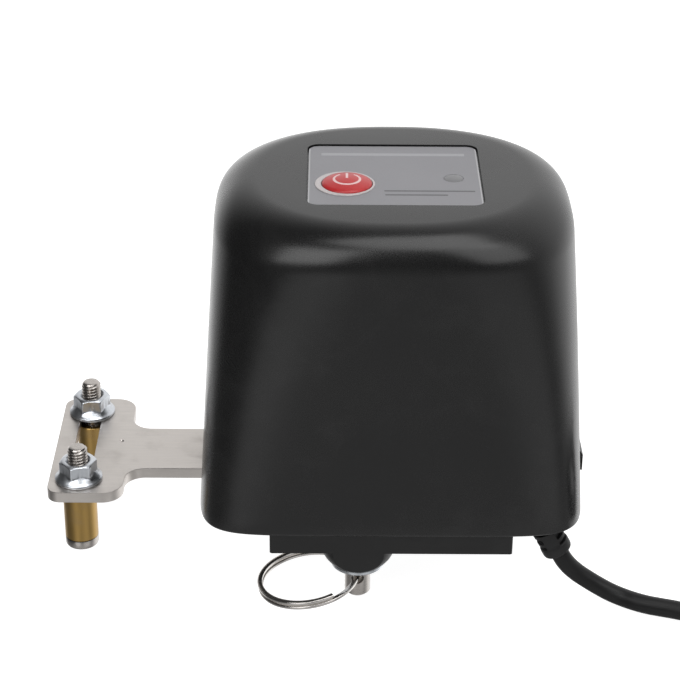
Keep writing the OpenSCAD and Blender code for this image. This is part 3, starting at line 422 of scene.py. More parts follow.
def new_group(name, inputs, outputs):
    """Shader node group with sockets for numbers, and for vectors where the value is a tuple."""
    group = bpy.data.node_groups.new(name, "ShaderNodeTree")
    for label, value in inputs:
        kind = "NodeSocketVector" if isinstance(value, tuple) else "NodeSocketFloat"
        group.interface.new_socket(name=label, in_out="INPUT", socket_type=kind).default_value = value
    for label in outputs:
        group.interface.new_socket(name=label, in_out="OUTPUT", socket_type="NodeSocketFloat")
    source = add_node(group, "NodeGroupInput").outputs
    sink = add_node(group, "NodeGroupOutput").inputs
    return group, source, sink


def grain_group():
    """Surface grain, stretched along a direction for drawn and rolled metal."""
    found = bpy.data.node_groups.get("Surface Grain")
    if found:
        return found
    inputs = (("Scale", 400.0), ("Stretch", (1.0, 1.0, 1.0)), ("Low", 0.3), ("High", 0.5), ("Tone", 0.1))
    group, source, sink = new_group("Surface Grain", inputs, ("Roughness", "Height", "Shade"))
    place = add_node(group, "ShaderNodeTexCoord").outputs["Object"]
    drawn = math_node(group, "MULTIPLY", place, source["Stretch"], "ShaderNodeVectorMath")
    fine = add_node(
        group, "ShaderNodeTexNoise", Vector=drawn, Scale=source["Scale"], Detail=4.0, Roughness=0.6
    ).outputs[0]
    broad = add_node(group, "ShaderNodeTexNoise", Vector=place, Scale=38.0, Detail=3.0, Roughness=0.5)
    mixed = math_node(group, "ADD", fine, broad.outputs[0])
    spread = add_node(
        group, "ShaderNodeMapRange", Value=mixed, From_Min=0.7, From_Max=1.3, To_Min=source["Low"],
        To_Max=source["High"],
    )
    tone = math_node(group, "MULTIPLY", math_node(group, "SUBTRACT", mixed, 1.0), source["Tone"])
    feed(group, sink["Roughness"], spread.outputs[0])
    feed(group, sink["Height"], fine)
    feed(group, sink["Shade"], math_node(group, "ADD", tone, 1.0))
    return group


def marks_group():
    """Thin patches of dust, handling and wear."""
    found = bpy.data.node_groups.get("Handling Marks")
    if found:
        return found
    group, source, sink = new_group("Handling Marks", (("Scale", 90.0), ("Amount", 0.2)), ("Mask",))
    place = add_node(group, "ShaderNodeTexCoord").outputs["Object"]
    patch = add_node(
        group, "ShaderNodeTexNoise", Vector=place, Scale=source["Scale"], Detail=6.0, Roughness=0.68,
        Distortion=0.4,
    )
    edge = add_node(group, "ShaderNodeMapRange", Value=patch.outputs[0], From_Min=0.5, From_Max=0.72)
    feed(group, sink["Mask"], math_node(group, "MULTIPLY", edge.outputs[0], source["Amount"]))
    return group


def bar_group():
    """Mask of a level rectangle at a place of the frame, for printed lines and for the painted highlight
    along the label's edges.
    """
    found = bpy.data.node_groups.get("Printed Bar")
    if found:
        return found
    inputs = (("Centre X", 0.0), ("Centre Y", 0.0), ("Half Width", 0.01), ("Half Height", 0.001))
    group, source, sink = new_group("Printed Bar", inputs, ("Mask",))
    place = add_node(group, "ShaderNodeTexCoord").outputs["Object"]
    axes = add_node(group, "ShaderNodeSeparateXYZ", Vector=place).outputs
    sides = []
    for axis, half in (("X", "Half Width"), ("Y", "Half Height")):
        off = math_node(group, "SUBTRACT", axes[axis], source["Centre " + axis])
        sides.append(math_node(group, "LESS_THAN", math_node(group, "ABSOLUTE", off), source[half]))
    feed(group, sink["Mask"], math_node(group, "MULTIPLY", *sides))
    return group


def finish(name, colour, rough, metallic=0.0, scale=400.0, stretch=(1.0, 1.0, 1.0), tone=0.12, bump=0.1,
           depth=0.00002, marks=0.15, mark_scale=90.0, mark_tint=(0.5, 0.5, 0.5), settings=None):
    """Material with grain in its colour, roughness and bump, and handling marks over it."""
    found = bpy.data.materials.get(name)
    if found:
        return found
    material = bpy.data.materials.new(name)
    material.use_nodes = True
    tree = material.node_tree
    shader = tree.nodes["Principled BSDF"].inputs
    shader["Metallic"].default_value = metallic
    for key, value in (settings or {}).items():
        shader[key].default_value = value
    low, high = rough
    grain = add_node(
        tree, "ShaderNodeGroup", grain_group(), Scale=scale, Stretch=stretch, Low=low, High=high, Tone=tone
    ).outputs
    worn = add_node(tree, "ShaderNodeGroup", marks_group(), Scale=mark_scale, Amount=marks).outputs[0]
    toned = mix_colour(tree, 1.0, tuple(colour), grain["Shade"], "MULTIPLY")
    tint = tuple(c + (t - c) * MARK_TINT for c, t in zip(colour, mark_tint))
    dulled = math_node(tree, "MULTIPLY", worn, MARK_DULLING)
    relief = add_node(tree, "ShaderNodeBump", Strength=bump, Distance=depth, Height=grain["Height"])
    feed(tree, shader["Base Color"], mix_colour(tree, worn, toned, tint))
    feed(tree, shader["Roughness"], math_node(tree, "ADD", grain["Roughness"], dulled))
    feed(tree, shader["Normal"], relief.outputs[0])
    return material


def lay_print_and_highlight(material, mask, colour):
    """Lays a colour over a finish where the mask is set: print, and the painted highlight along the label's
    edges.
    """
    tree = material.node_tree
    base = tree.nodes["Principled BSDF"].inputs["Base Color"]
    feed(tree, base, mix_colour(tree, mask, base.links[0].from_socket, tuple(colour)))


def moulded_black(name, colour, rough):
    """Spark-eroded black moulding."""
    return finish(
        name, colour, rough, scale=2600.0, tone=0.25, marks=0.05, mark_scale=45.0,
        mark_tint=(0.2, 0.2, 0.2), settings={"IOR": 1.42},
    )


def bright_metal(name, colour, rough, scale=900.0, stretch=(1.0, 1.0, 1.0), marks=0.25):
    """Plated or turned metal with marks of its making."""
    return finish(
        name, colour, rough, metallic=1.0, scale=scale, stretch=stretch, tone=0.3, bump=0.12,
        depth=0.00001, marks=marks, mark_scale=160.0, mark_tint=(0.36, 0.33, 0.3),
    )


# Operators


class StudioOperator(bpy.types.Operator):
    """Sets the floor, the soft lights and the camera"""

    bl_idname = "actuator.studio"
    bl_label = "Studio"

    sensor = 36.0
    clip_start = 0.01
    floor_half = 4.0
    floor_drop = 0.0002
    aim = (0.0, 0.03, 0.05)
    distance = 0.95
    # Side, direction and size of each softbox
    softboxes = (
        ("top", (0.139, -0.198, 0.97), (0.65, 0.55)),
        ("left", (-0.437, -0.601, 0.669), (0.6, 0.55)),
        ("right", (0.567, -0.443, 0.695), (0.6, 0.55)),
    )
    # Direction of each patch of the room, cosines at its rim and core, and strength
    patches = (
        ((0.5, 0.866, 0.05), 0.05, 0.85, 1.06), ((-0.47, 0.814, -0.342), 0.75, 0.97, 0.5),
        ((0.85, 0.45, -0.3), 0.85, 0.99, 0.35), ((0.93, -0.34, -0.17), 0.75, 0.97, 0.22),
        ((0.0, -0.8, -0.6), 0.5, 0.95, 0.3), ((0.0, 0.0, -1.0), 0.1, 0.8, 0.25),
        ((-0.377, -0.889, -0.259), 0.92, 0.995, 0.6), ((0.586, -0.778, -0.225), 0.86, 0.995, 0.4),
    )

    def softbox(self, name, toward, size, power):
        """Rectangular area light that faces the actuator from a direction."""
        light = bpy.data.lights.new(name, "AREA")
        light.shape = "RECTANGLE"
        light.size, light.size_y = size
        light.energy = power
        lamp = bpy.data.objects.new(name, light)
        lamp.location = Vector(self.aim) + Vector(toward).normalized() * self.distance
        lamp.rotation_euler = (-Vector(toward)).to_track_quat("-Z", "Y").to_euler()
        bpy.context.scene.collection.objects.link(lamp)

    def room(self, scene, setup):
        """Room with a white wall behind and soft patches of light in front."""
        world = bpy.data.worlds.new("Studio Room")
        world.use_nodes = True
        tree = world.node_tree
        place = add_node(tree, "ShaderNodeTexCoord").outputs["Generated"]
        total = setup.room
        for toward, outer, inner, strength in self.patches:
            axis = Vector(toward).normalized()
            off = math_node(tree, "DOT_PRODUCT", place, axis, "ShaderNodeVectorMath")
            patch = add_node(
                tree, "ShaderNodeMapRange", Value=off, From_Min=outer, From_Max=inner, To_Max=strength
            )
            patch.interpolation_type = "SMOOTHSTEP"
            total = math_node(tree, "ADD", patch.outputs[0], total)
        background = tree.nodes["Background"].inputs
        feed(tree, background["Strength"], total)
        feed(tree, background["Color"], (1.0, 1.0, 1.0, 1.0))
        scene.world = world

    def execute(self, context):
        scene = context.scene
        setup = scene.actuator_studio
        camera = bpy.data.objects.new("Camera", bpy.data.cameras.new("Camera"))
        camera.data.sensor_width = self.sensor
        camera.data.lens = setup.lens
        camera.data.clip_start = self.clip_start
        camera.location = setup.camera_place
        view = Vector(setup.camera_aim).to_track_quat("-Z", "Y").to_matrix().to_4x4()
        camera.rotation_euler = (view @ Matrix.Rotation(setup.camera_roll, 4, "Z")).to_euler()
        scene.collection.objects.link(camera)
        scene.camera = camera
        scene.view_settings.view_transform = "Standard"
        bm = bmesh.new()
        bmesh.ops.create_grid(bm, x_segments=4, y_segments=4, size=self.floor_half)
        bmesh.ops.translate(bm, verts=bm.verts, vec=(0.0, 0.0, FLOOR_Z - self.floor_drop))
        floor = to_object(bm, "Floor")
        glow = {"Emission Color": (1.0, 1.0, 1.0, 1.0), "Emission Strength": setup.floor_glow}
        paper = finish(
            "Floor Paper", (0.4, 0.4, 0.4), (0.7, 0.85), scale=300.0, tone=0.02, marks=0.0, settings=glow
        )
        floor.data.materials.append(paper)
        floor.visible_glossy = False
        self.room(scene, setup)
        for side, toward, size in self.softboxes:
            self.softbox(f"{side.title()} Softbox", toward, size, getattr(setup, side + "_power"))
        return {"FINISHED"}


class CableOperator(bpy.types.Operator):
    """Lays the power cable, its coil, its tie and its plug"""

    bl_idname = "actuator.cable"
    bl_label = "Power cable"

    run = (
        (48.491, -33.0, -11.832), (51.0, -33.0, -16.0), (53.9, -33.0, -19.1), (57.5, -33.3, -21.7),
        (61.1, -33.9, -23.8), (64.5, -35.0, -25.2), (67.9, -36.5, -25.9), (71.1, -38.5, -25.9),
        (74.4, -40.1, -25.9), (77.7, -41.2, -25.9), (81.0, -42.2, -25.9), (86.0, -43.9, -25.9),
        (91.0, -45.7, -25.8), (97.0, -47.4, -25.5), (104.0, -48.9, -25.2), (111.0, -49.8, -25.0),
        (118.0, -50.0, -25.0), (124.0, -50.0, -25.0),
    )
    tail = (
        (161.025, -11.5, -19.1), (161.025, -6.5, -19.9), (161.025, -1.5, -21.275),
        (161.025, 3.5, -22.95), (161.025, 8.5, -23.45),
    )
    coil_middle = (129.0, -16.5)
    low_turns = 2.5
    high_turns = 2.25
    steps = 24
    tie_angle = 70.0
    tie_width = 4.0
    tie_gap = 0.12
    tie_thickness = 0.8
    barrel = (
        (0.0, 24.6), (2.75, 24.6), (2.75, 33.6), (2.6, 34.3), (2.4, 34.5), (1.3, 34.5), (1.05, 34.2),
        (1.05, 27.0), (0.0, 27.0),
    )

    def route(self, lay):
        """Centre line from the gland to the plug."""
        step = lay.coil_step / MM
        radius = lay.coil_radius / MM
        inner = radius - self.low_turns * step
        low = self.run[-1][2]
        high = low + step
        coil = []
        for i in range(int(self.low_turns * self.steps) + 1):
            coil.append((radius - step * i / self.steps, i / self.steps, low))
        for i in range(1, self.steps // 2 + 1):
            coil.append((inner, self.low_turns + i / self.steps, low + 2 * step * i / self.steps))
        for i in range(1, int(self.high_turns * self.steps) + 1):
            coil.append((inner + step * i / self.steps, self.low_turns + 0.5 + i / self.steps, high))
        x, y = self.coil_middle
        points = [spot(*p) for p in self.run]
        for r, turn, z in coil:
            a = math.tau * turn - math.pi / 2
            points.append(spot(x + r * math.cos(a), y + r * math.sin(a), z))
        return points + [spot(*p) for p in self.tail]

    def wrap(self, lay, gap, width):
        """Prism across the coil that encloses its turns, with a gap round them."""
        step = lay.coil_step / MM
        radius = lay.coil_radius / MM
        low = self.run[-1][2]
        turn = self.tie_angle / 360 + 0.25
        crossings = [(radius - step * (turn + i), low) for i in range(3)]
        crossings += [(radius - step * (self.low_turns - turn - i), low + step) for i in range(2)]
        middle = Matrix.Translation(spot(*self.coil_middle, 0.0))
        facing = middle @ Matrix.Rotation(math.radians(self.tie_angle), 4, "Z")
        upright = Matrix.Rotation(math.pi / 2, 4, "X")
        bm = bmesh.new()
        for r, z in crossings:
            for side in (-0.5, 0.5):
                place = facing @ Matrix.Translation(Vector((r, side * width, z)) * MM) @ upright
                bmesh.ops.create_circle(bm, segments=32, radius=lay.diameter / 2 + gap * MM, matrix=place)
        hull = bmesh.ops.convex_hull(bm, input=bm.verts)
        spare = hull["geom_interior"] + hull["geom_unused"]
        inner = {g for g in spare if isinstance(g, bmesh.types.BMVert)}
        bmesh.ops.delete(bm, geom=list(inner), context="VERTS")
        return bm

    def grip(self):
        """Profile of the plug's grip: a ribbed neck, then a body with three grooves."""
        profile = [(0.0, 0.0), (3.2, 0.0), (3.4, 0.2)]
        for i in range(4):
            z = 0.9 + 2.0 * i
            r = 3.45 + 0.22 * i
            profile += [(r, z), (r - 0.55, z + 0.25), (r - 0.55, z + 0.75), (r + 0.12, z + 1.0)]
        profile += [(4.45, 9.2), (4.9, 9.9), (5.0, 10.4)]
        for z in (13.0, 15.4, 17.8):
            profile += [(5.0, z), (4.7, z + 0.3), (4.7, z + 0.9), (5.0, z + 1.2)]
        return profile + [(5.0, 23.9), (4.8, 24.6), (4.2, 25.0), (0.0, 25.0)]

    def execute(self, context):
        scene = context.scene
        colours = scene.actuator_colours
        lay = scene.actuator_cable
        jacket = finish(
            "Cable Jacket", colours.cable, (0.4, 0.52), scale=500.0, tone=0.2, bump=0.08, marks=0.06,
            mark_tint=(0.2, 0.2, 0.2), settings={"IOR": 1.3},
        )
        points = self.route(lay)
        curve = bpy.data.curves.new("power_cable", "CURVE")
        curve.dimensions = "3D"
        curve.bevel_depth = lay.diameter / 2
        curve.bevel_resolution = 6
        curve.use_fill_caps = True
        spline = curve.splines.new("BEZIER")
        spline.resolution_u = 5
        spline.bezier_points.add(len(points) - 1)
        for knot, point in zip(spline.bezier_points, points):
            knot.co = point
            knot.handle_left_type = "AUTO"
            knot.handle_right_type = "AUTO"
        curve.materials.append(jacket)
        cable = bpy.data.objects.new("power_cable", curve)
        scene.collection.objects.link(cable)
        settle(cable, "housing", ("cable_run", "cable_coil"))

        place = Matrix.Translation(points[-1]) @ Matrix.Rotation(-math.pi / 2, 4, "X")
        plug = set_piece(
            turned(self.grip(), place), "plug_grip", "housing",
            moulded_black("Plug Moulding", colours.base, (0.4, 0.55)), ("dc_plug",),
        )
        contact = set_piece(
            turned(self.barrel, place, 48), "plug_barrel", "housing",
            bright_metal("Contact Plating", colours.plate, (0.16, 0.28)),
        )
        tie = set_piece(
            self.wrap(lay, self.tie_gap + self.tie_thickness, self.tie_width), "cable_tie", "housing",
            finish("Tie Nylon", (0.012, 0.012, 0.012), (0.45, 0.6), scale=700.0, tone=0.2),
            ("coil_tie",),
        )
        cut_away(tie, self.wrap(lay, self.tie_gap, 2 * self.tie_width))
        return {"FINISHED"}


class CoverOperator(bpy.types.Operator):
    """Moulds the top cover"""

    bl_idname = "actuator.cover"
    bl_label = "Top cover"

    rim_steps = 4
    wall_steps = 24
    shoulder_steps = 20
    # Radii of the holes under the label
    holes = (("power_button", 7.3), ("led_lens", 2.75))
    hole_points = 40
    # Window of the right snap hook; the left one lies across from it
    window_size = (12.0, 9.4, 11.8)
    window_place = (54.0, -16.0, 13.3)

    def ring(self, shape, z, inset):
        """Outline of the cover at a height above the rim."""
        part = max(0.0, z) / shape.height
        half_w = (shape.rim_width + (shape.top_width - shape.rim_width) * part) / 2 - inset
        half_d = (shape.rim_depth + (shape.top_depth - shape.rim_depth) * part) / 2 - inset
        power = 2 / (shape.rim_squareness + (shape.top_squareness - shape.rim_squareness) * part)
        points = []
        for _, c, s in turns(shape.around):
            x = half_w * math.copysign(abs(c) ** power, c)
            y = half_d * math.copysign(abs(s) ** power, s)
            points.append(RIM + Vector((x, y, z)))
        return points

    def rings(self, shape):
        """Rings from the rim, up the wall and over the shoulder."""
        made = []
        low = shape.rim_round
        straight = shape.height - shape.shoulder
        for i in range(self.rim_steps + 1):
            a = math.pi / 2 * i / self.rim_steps
            made.append(self.ring(shape, low * (1 - math.cos(a)), low * (1 - math.sin(a))))
        for i in range(1, self.wall_steps + 1):
            made.append(self.ring(shape, low + (straight - low) * i / self.wall_steps, 0.0))
        for i in range(1, self.shoulder_steps + 1):
            a = math.pi / 2 * i / self.shoulder_steps
            inset = shape.shoulder * (1 - math.cos(a))
            made.append(self.ring(shape, straight + shape.shoulder * math.sin(a), inset))
        return made

    def execute(self, context):
        scene = context.scene
        shape = scene.actuator_cover
        sizes = scene.actuator_controls
        bm = bmesh.new()
        top_edges = loft(bm, self.rings(shape))
        low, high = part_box("label_panel")
        gap = sizes.label_gap
        lip = rounded_rect(
            over("label_panel", COVER_HIGH.z), high.x - low.x + 2 * gap, high.y - low.y + 2 * gap,
            sizes.label_corner + gap,
        )
        lip_edges = ring_loop(bm, lip)[1]
        bmesh.ops.triangle_fill(bm, use_beauty=True, use_dissolve=False, edges=top_edges + lip_edges)
        sunk, seat = extrude_loop(bm, lip_edges)
        bmesh.ops.translate(bm, verts=list(sunk), vec=(0.0, 0.0, -sizes.recess))
        for node, radius in self.holes:
            middle = over(node, COVER_HIGH.z - sizes.recess)
            seat += ring_loop(bm, circle(middle, radius * MM, self.hole_points))[1]
        bmesh.ops.triangle_fill(bm, use_beauty=True, use_dissolve=False, edges=seat)
        black = moulded_black("Cover Moulding", scene.actuator_colours.cover, (0.22, 0.3))
        cover = set_piece(bm, "cover_moulding", "housing", black, ("top_cover",))
        wall = cover.modifiers.new("Wall", "SOLIDIFY")
        wall.thickness = shape.wall
        wall.offset = -1.0
        bake_modifiers(cover)
        tool = bmesh.new()
        size = Matrix.Diagonal((*(Vector(self.window_size) * MM), 1.0))
        x, y, z = self.window_place
        for side in (-1, 1):
            place = Matrix.Translation(spot(side * x, side * y, z))
            bmesh.ops.create_cube(tool, size=1.0, matrix=place @ size)
        cut_away(cover, tool)
        return {"FINISHED"}


class ControlsOperator(bpy.types.Operator):
    """Makes the label, the light window, the button and its bezel"""

    bl_idname = "actuator.controls"
    bl_label = "Label and button"

    # Middle, half size and ink of each printed bar
    bars = (
        ((0.0, 14.8), (20.4, 0.9), "print_pale"), ((9.6, -11.0), (12.5, 0.42), "print_dark"),
        ((5.9, -13.7), (8.6, 0.42), "print_dark"),
    )
    film_round = 0.12
    # Width of the painted highlight bands along the film's edges.
    edge_highlight_width = 0.22
    window_round = 0.1
    mouth = 0.52
    bar_half = 0.65
    stem = (
        (0.0, 84.3), (1.9, 84.3), (2.0, 84.4), (2.0, 87.4), (8.0, 87.4), (8.2, 87.6), (8.2, 88.6),
        (8.0, 88.8), (7.0, 88.8),
    )
    button_radius = 7.0
    button_rim = 91.7
    button_crown = 1.3
    edge_steps = 5
    edge_rise = 0.08
    dome_steps = 12
    bezel_radius = 7.15
    around = 96

    def standby(self, tree, middle, sizes):
        """Mask of the standby sign: an arc that is open at the back, and a bar."""
        radius = sizes.symbol_radius
        half = radius * self.bar_half
        place = add_node(tree, "ShaderNodeTexCoord").outputs["Object"]
        axes = add_node(tree, "ShaderNodeSeparateXYZ", Vector=place).outputs
        x = math_node(tree, "SUBTRACT", axes["X"], middle.x)
        y = math_node(tree, "SUBTRACT", axes["Y"], middle.y)
        away = math_node(tree, "ADD", math_node(tree, "MULTIPLY", x, x), math_node(tree, "MULTIPLY", y, y))
        off = math_node(tree, "SUBTRACT", math_node(tree, "SQRT", away), radius)
        arc = math_node(tree, "LESS_THAN", math_node(tree, "ABSOLUTE", off), sizes.symbol_line)
        mouth = math_node(tree, "LESS_THAN", math_node(tree, "ABSOLUTE", x), radius * self.mouth)
        mouth = math_node(tree, "MULTIPLY", mouth, math_node(tree, "GREATER_THAN", y, 0.0))
        arc = math_node(tree, "MULTIPLY", arc, math_node(tree, "SUBTRACT", 1.0, mouth))
        bar = add_node(
            tree, "ShaderNodeGroup", bar_group(), Centre_X=middle.x, Centre_Y=middle.y + half,
            Half_Width=sizes.symbol_line, Half_Height=half,
        )
        return math_node(tree, "MAXIMUM", arc, bar.outputs["Mask"])

    def film(self, colours):
        """Film with its printed bars, and a painted highlight along its raised edge on three sides."""
        film = finish(
            "Printed Film", colours.label, (0.42, 0.55), scale=1800.0, tone=0.06, bump=0.06, marks=0.05,
            mark_tint=(0.6, 0.6, 0.6),
        )
        rows = []
        for middle, (across, along), paint in self.bars:
            place = spot(*middle, 0.0)
            rows.append((place.x, place.y, across * MM, along * MM, paint))
        low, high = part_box("label_panel")
        half = (high - low) / 2
        # Pale bands on the left, right and front edges are a painted highlight, where the film's raised edge
        # catches the light.
        rim = self.edge_highlight_width * MM
        rows.append((low.x + rim, low.y + half.y, rim, half.y, "painted_edge_highlight"))
        rows.append((high.x - rim, low.y + half.y, rim, half.y, "painted_edge_highlight"))
        rows.append((low.x + half.x, low.y + rim, half.x, rim, "painted_edge_highlight"))
        for x, y, across, along, paint in rows:
            bar = add_node(
                film.node_tree, "ShaderNodeGroup", bar_group(), Centre_X=x, Centre_Y=y, Half_Width=across,
                Half_Height=along,
            )
            lay_print_and_highlight(film, bar.outputs["Mask"], getattr(colours, paint))
        return film

    def button(self, sizes):
        """Profile of the button: its stem and flange, a rounded rim and a dome."""
        radius = self.button_radius
        rim = self.button_rim
        crown = self.button_crown
        edge = sizes.button_edge / MM
        dome = (radius * radius + crown * crown) / (2 * crown)
        profile = [*self.stem, (radius, rim - edge)]
        for i in range(1, self.edge_steps):
            a = math.pi / 2 * i / self.edge_steps
            z = rim - edge * (1 - math.sin(a)) + self.edge_rise * i / self.edge_steps
            profile.append((radius - edge * (1 - math.cos(a)), z))
        for i in range(self.dome_steps + 1):
            r = (radius - edge) * (1 - i / self.dome_steps)
            profile.append((r, rim + crown - dome + math.sqrt(dome * dome - r * r)))
        return profile

    def execute(self, context):
        scene = context.scene
        colours = scene.actuator_colours
        sizes = scene.actuator_controls
        film = self.film(colours)
        dress("label_panel", "label_film", "housing", film, self.film_round * MM)
        window = finish(
            "Frosted Window", colours.lens, (0.3, 0.42), scale=1500.0, tone=0.05, bump=0.05, marks=0.0,
            settings={"Subsurface Weight": 0.2, "Subsurface Radius": (0.001, 0.001, 0.001)},
        )
        dress("led_lens", "light_window", "housing", window, self.window_round * MM, sharp=35.0)
        middle = over("power_button", RIM.z)
        place = Matrix.Translation(middle)
        gloss = finish(
            "Button Gloss", colours.button, (0.3, 0.42), scale=700.0, tone=0.08, bump=0.02, marks=0.04,
            mark_tint=(0.7, 0.3, 0.3), settings={"IOR": 1.38, "Coat Weight": 0.12, "Coat Roughness": 0.12},
        )
        lay_print_and_highlight(gloss, self.standby(gloss.node_tree, middle, sizes), colours.symbol)
        cap = turned(self.button(sizes), place, self.around)
        set_piece(cap, "button_cap", "button", gloss, ("power_button",))
        inner = self.bezel_radius
        outer = inner + sizes.bezel_width / MM
        profile = (
            (inner, 91.0), (outer, 91.0), (outer, 91.25), (outer - 0.12, 91.36), (inner + 0.12, 91.4),
            (inner, 91.28), (inner, 91.0),
        )
        bm = turned(profile, place, self.around)
        rim_verts = [v for v in bm.verts if (v.co - middle).xy.length > (inner + outer) / 2 * MM]
        bmesh.ops.translate(bm, vec=(-sizes.bezel_shift, 0.0, 0.0), verts=rim_verts)
        ring = finish("Bezel Gloss", colours.bezel, (0.25, 0.35), scale=900.0, tone=0.05, marks=0.05)
        set_piece(bm, "button_bezel", "housing", ring)
        return {"FINISHED"}


class BaseOperator(bpy.types.Operator):
    """Dresses the base frame with its block and boss, and makes the strain relief"""

    bl_idname = "actuator.base"
    bl_label = "Base and strain relief"

    edge = 0.3
    gland = (42.2, -33.0, 0.0)
    lean = 28.0
    # Radius, height and depth of groove of each ring of the strain relief
    relief = (
        (4.35, -1.0, 0.0), (4.35, -2.2, 0.0), (4.3, -3.4, 0.0), (4.3, -3.5, 1.1), (4.25, -4.8, 1.1),
        (4.25, -4.9, 0.0), (4.2, -6.2, 0.0), (4.2, -6.3, 1.15), (4.15, -7.9, 1.15), (4.15, -8.0, 0.0),
        (4.1, -9.0, 0.0), (4.1, -9.1, 0.8), (4.1, -9.9, 0.8), (4.15, -10.1, 0.0), (4.3, -10.4, 0.0),
        (4.35, -10.9, 0.0), (4.35, -12.6, 0.0), (4.2, -13.1, 0.0), (3.8, -13.4, 0.0), (2.6, -13.4, 0.0),
        (2.45, -13.2, 0.0),
    )
    flange = (
        (0.0, -2.0), (4.9, -2.0), (5.2, -1.7), (5.2, -0.2), (5.1, -0.06), (3.6, -0.06), (3.6, 3.05),
        (4.6, 3.05), (4.6, 4.1), (4.4, 4.25), (0.0, 4.25),
    )
    around = 72
    rib_cosine = 0.86
    rib_change = -5.5

    def relief_ring(self, r, z, cut):
        """Ring of the strain relief, with a groove that two ribs bridge, turned in the lower grooves."""
        shift = math.pi / 2 * (z < self.rib_change)
        points = []
        for a, c, s in turns(self.around):
            bridged = abs(math.cos(a + shift)) > self.rib_cosine
            depth = 0.0 if bridged else cut
            points.append(Vector(((r - depth) * c, (r - depth) * s, z)) * MM)
        return points

    def execute(self, context):
        colours = context.scene.actuator_colours
        # The base colour is partly painted shade for the boss and block under the cover.
        moulding = moulded_black("Base Moulding", colours.base, (0.34, 0.46))
        dress("base_frame", "base_moulding", "housing", moulding, self.edge * MM)
        bm = bmesh.new()
        loft(bm, [self.relief_ring(*row) for row in self.relief], caps=True)
        lean = Matrix.Rotation(math.radians(-self.lean), 3, "Y")
        bmesh.ops.rotate(bm, verts=bm.verts, cent=(0, 0, 0), matrix=lean)
        join(bm, turned(self.flange, Matrix.Identity(4), self.around))
        bmesh.ops.translate(bm, verts=bm.verts, vec=spot(*self.gland))
        rubber = moulded_black("Strain Relief", colours.cable, (0.45, 0.6))
        set_piece(bm, "strain_relief", "housing", rubber, ("cable_gland",), sharp=40.0)
        return {"FINISHED"}


class LeverOperator(bpy.types.Operator):
    """Dresses the lever plate"""

    bl_idname = "actuator.lever"
    bl_label = "Lever plate"

    dimple = (-81.8, 17.7, -5.22)
    dimple_radius = 1.1

    def execute(self, context):
        scene = context.scene
        plating = bright_metal(
            "Nickel Plate", scene.actuator_colours.plate, (0.3, 0.46), scale=420.0, stretch=(0.25, 2.2, 1.0),
            marks=0.3,
        )
        edge = scene.actuator_hardware.edge
        plate = dress("lever_plate", "lever_blade", "lever_arm", plating, edge)
        tool = bmesh.new()
        bmesh.ops.create_uvsphere(tool, u_segments=24, v_segments=16, radius=self.dimple_radius * MM)
        bmesh.ops.translate(tool, verts=tool.verts, vec=spot(*self.dimple))
        cut_away(plate, tool, sharp=18.0)
        return {"FINISHED"}


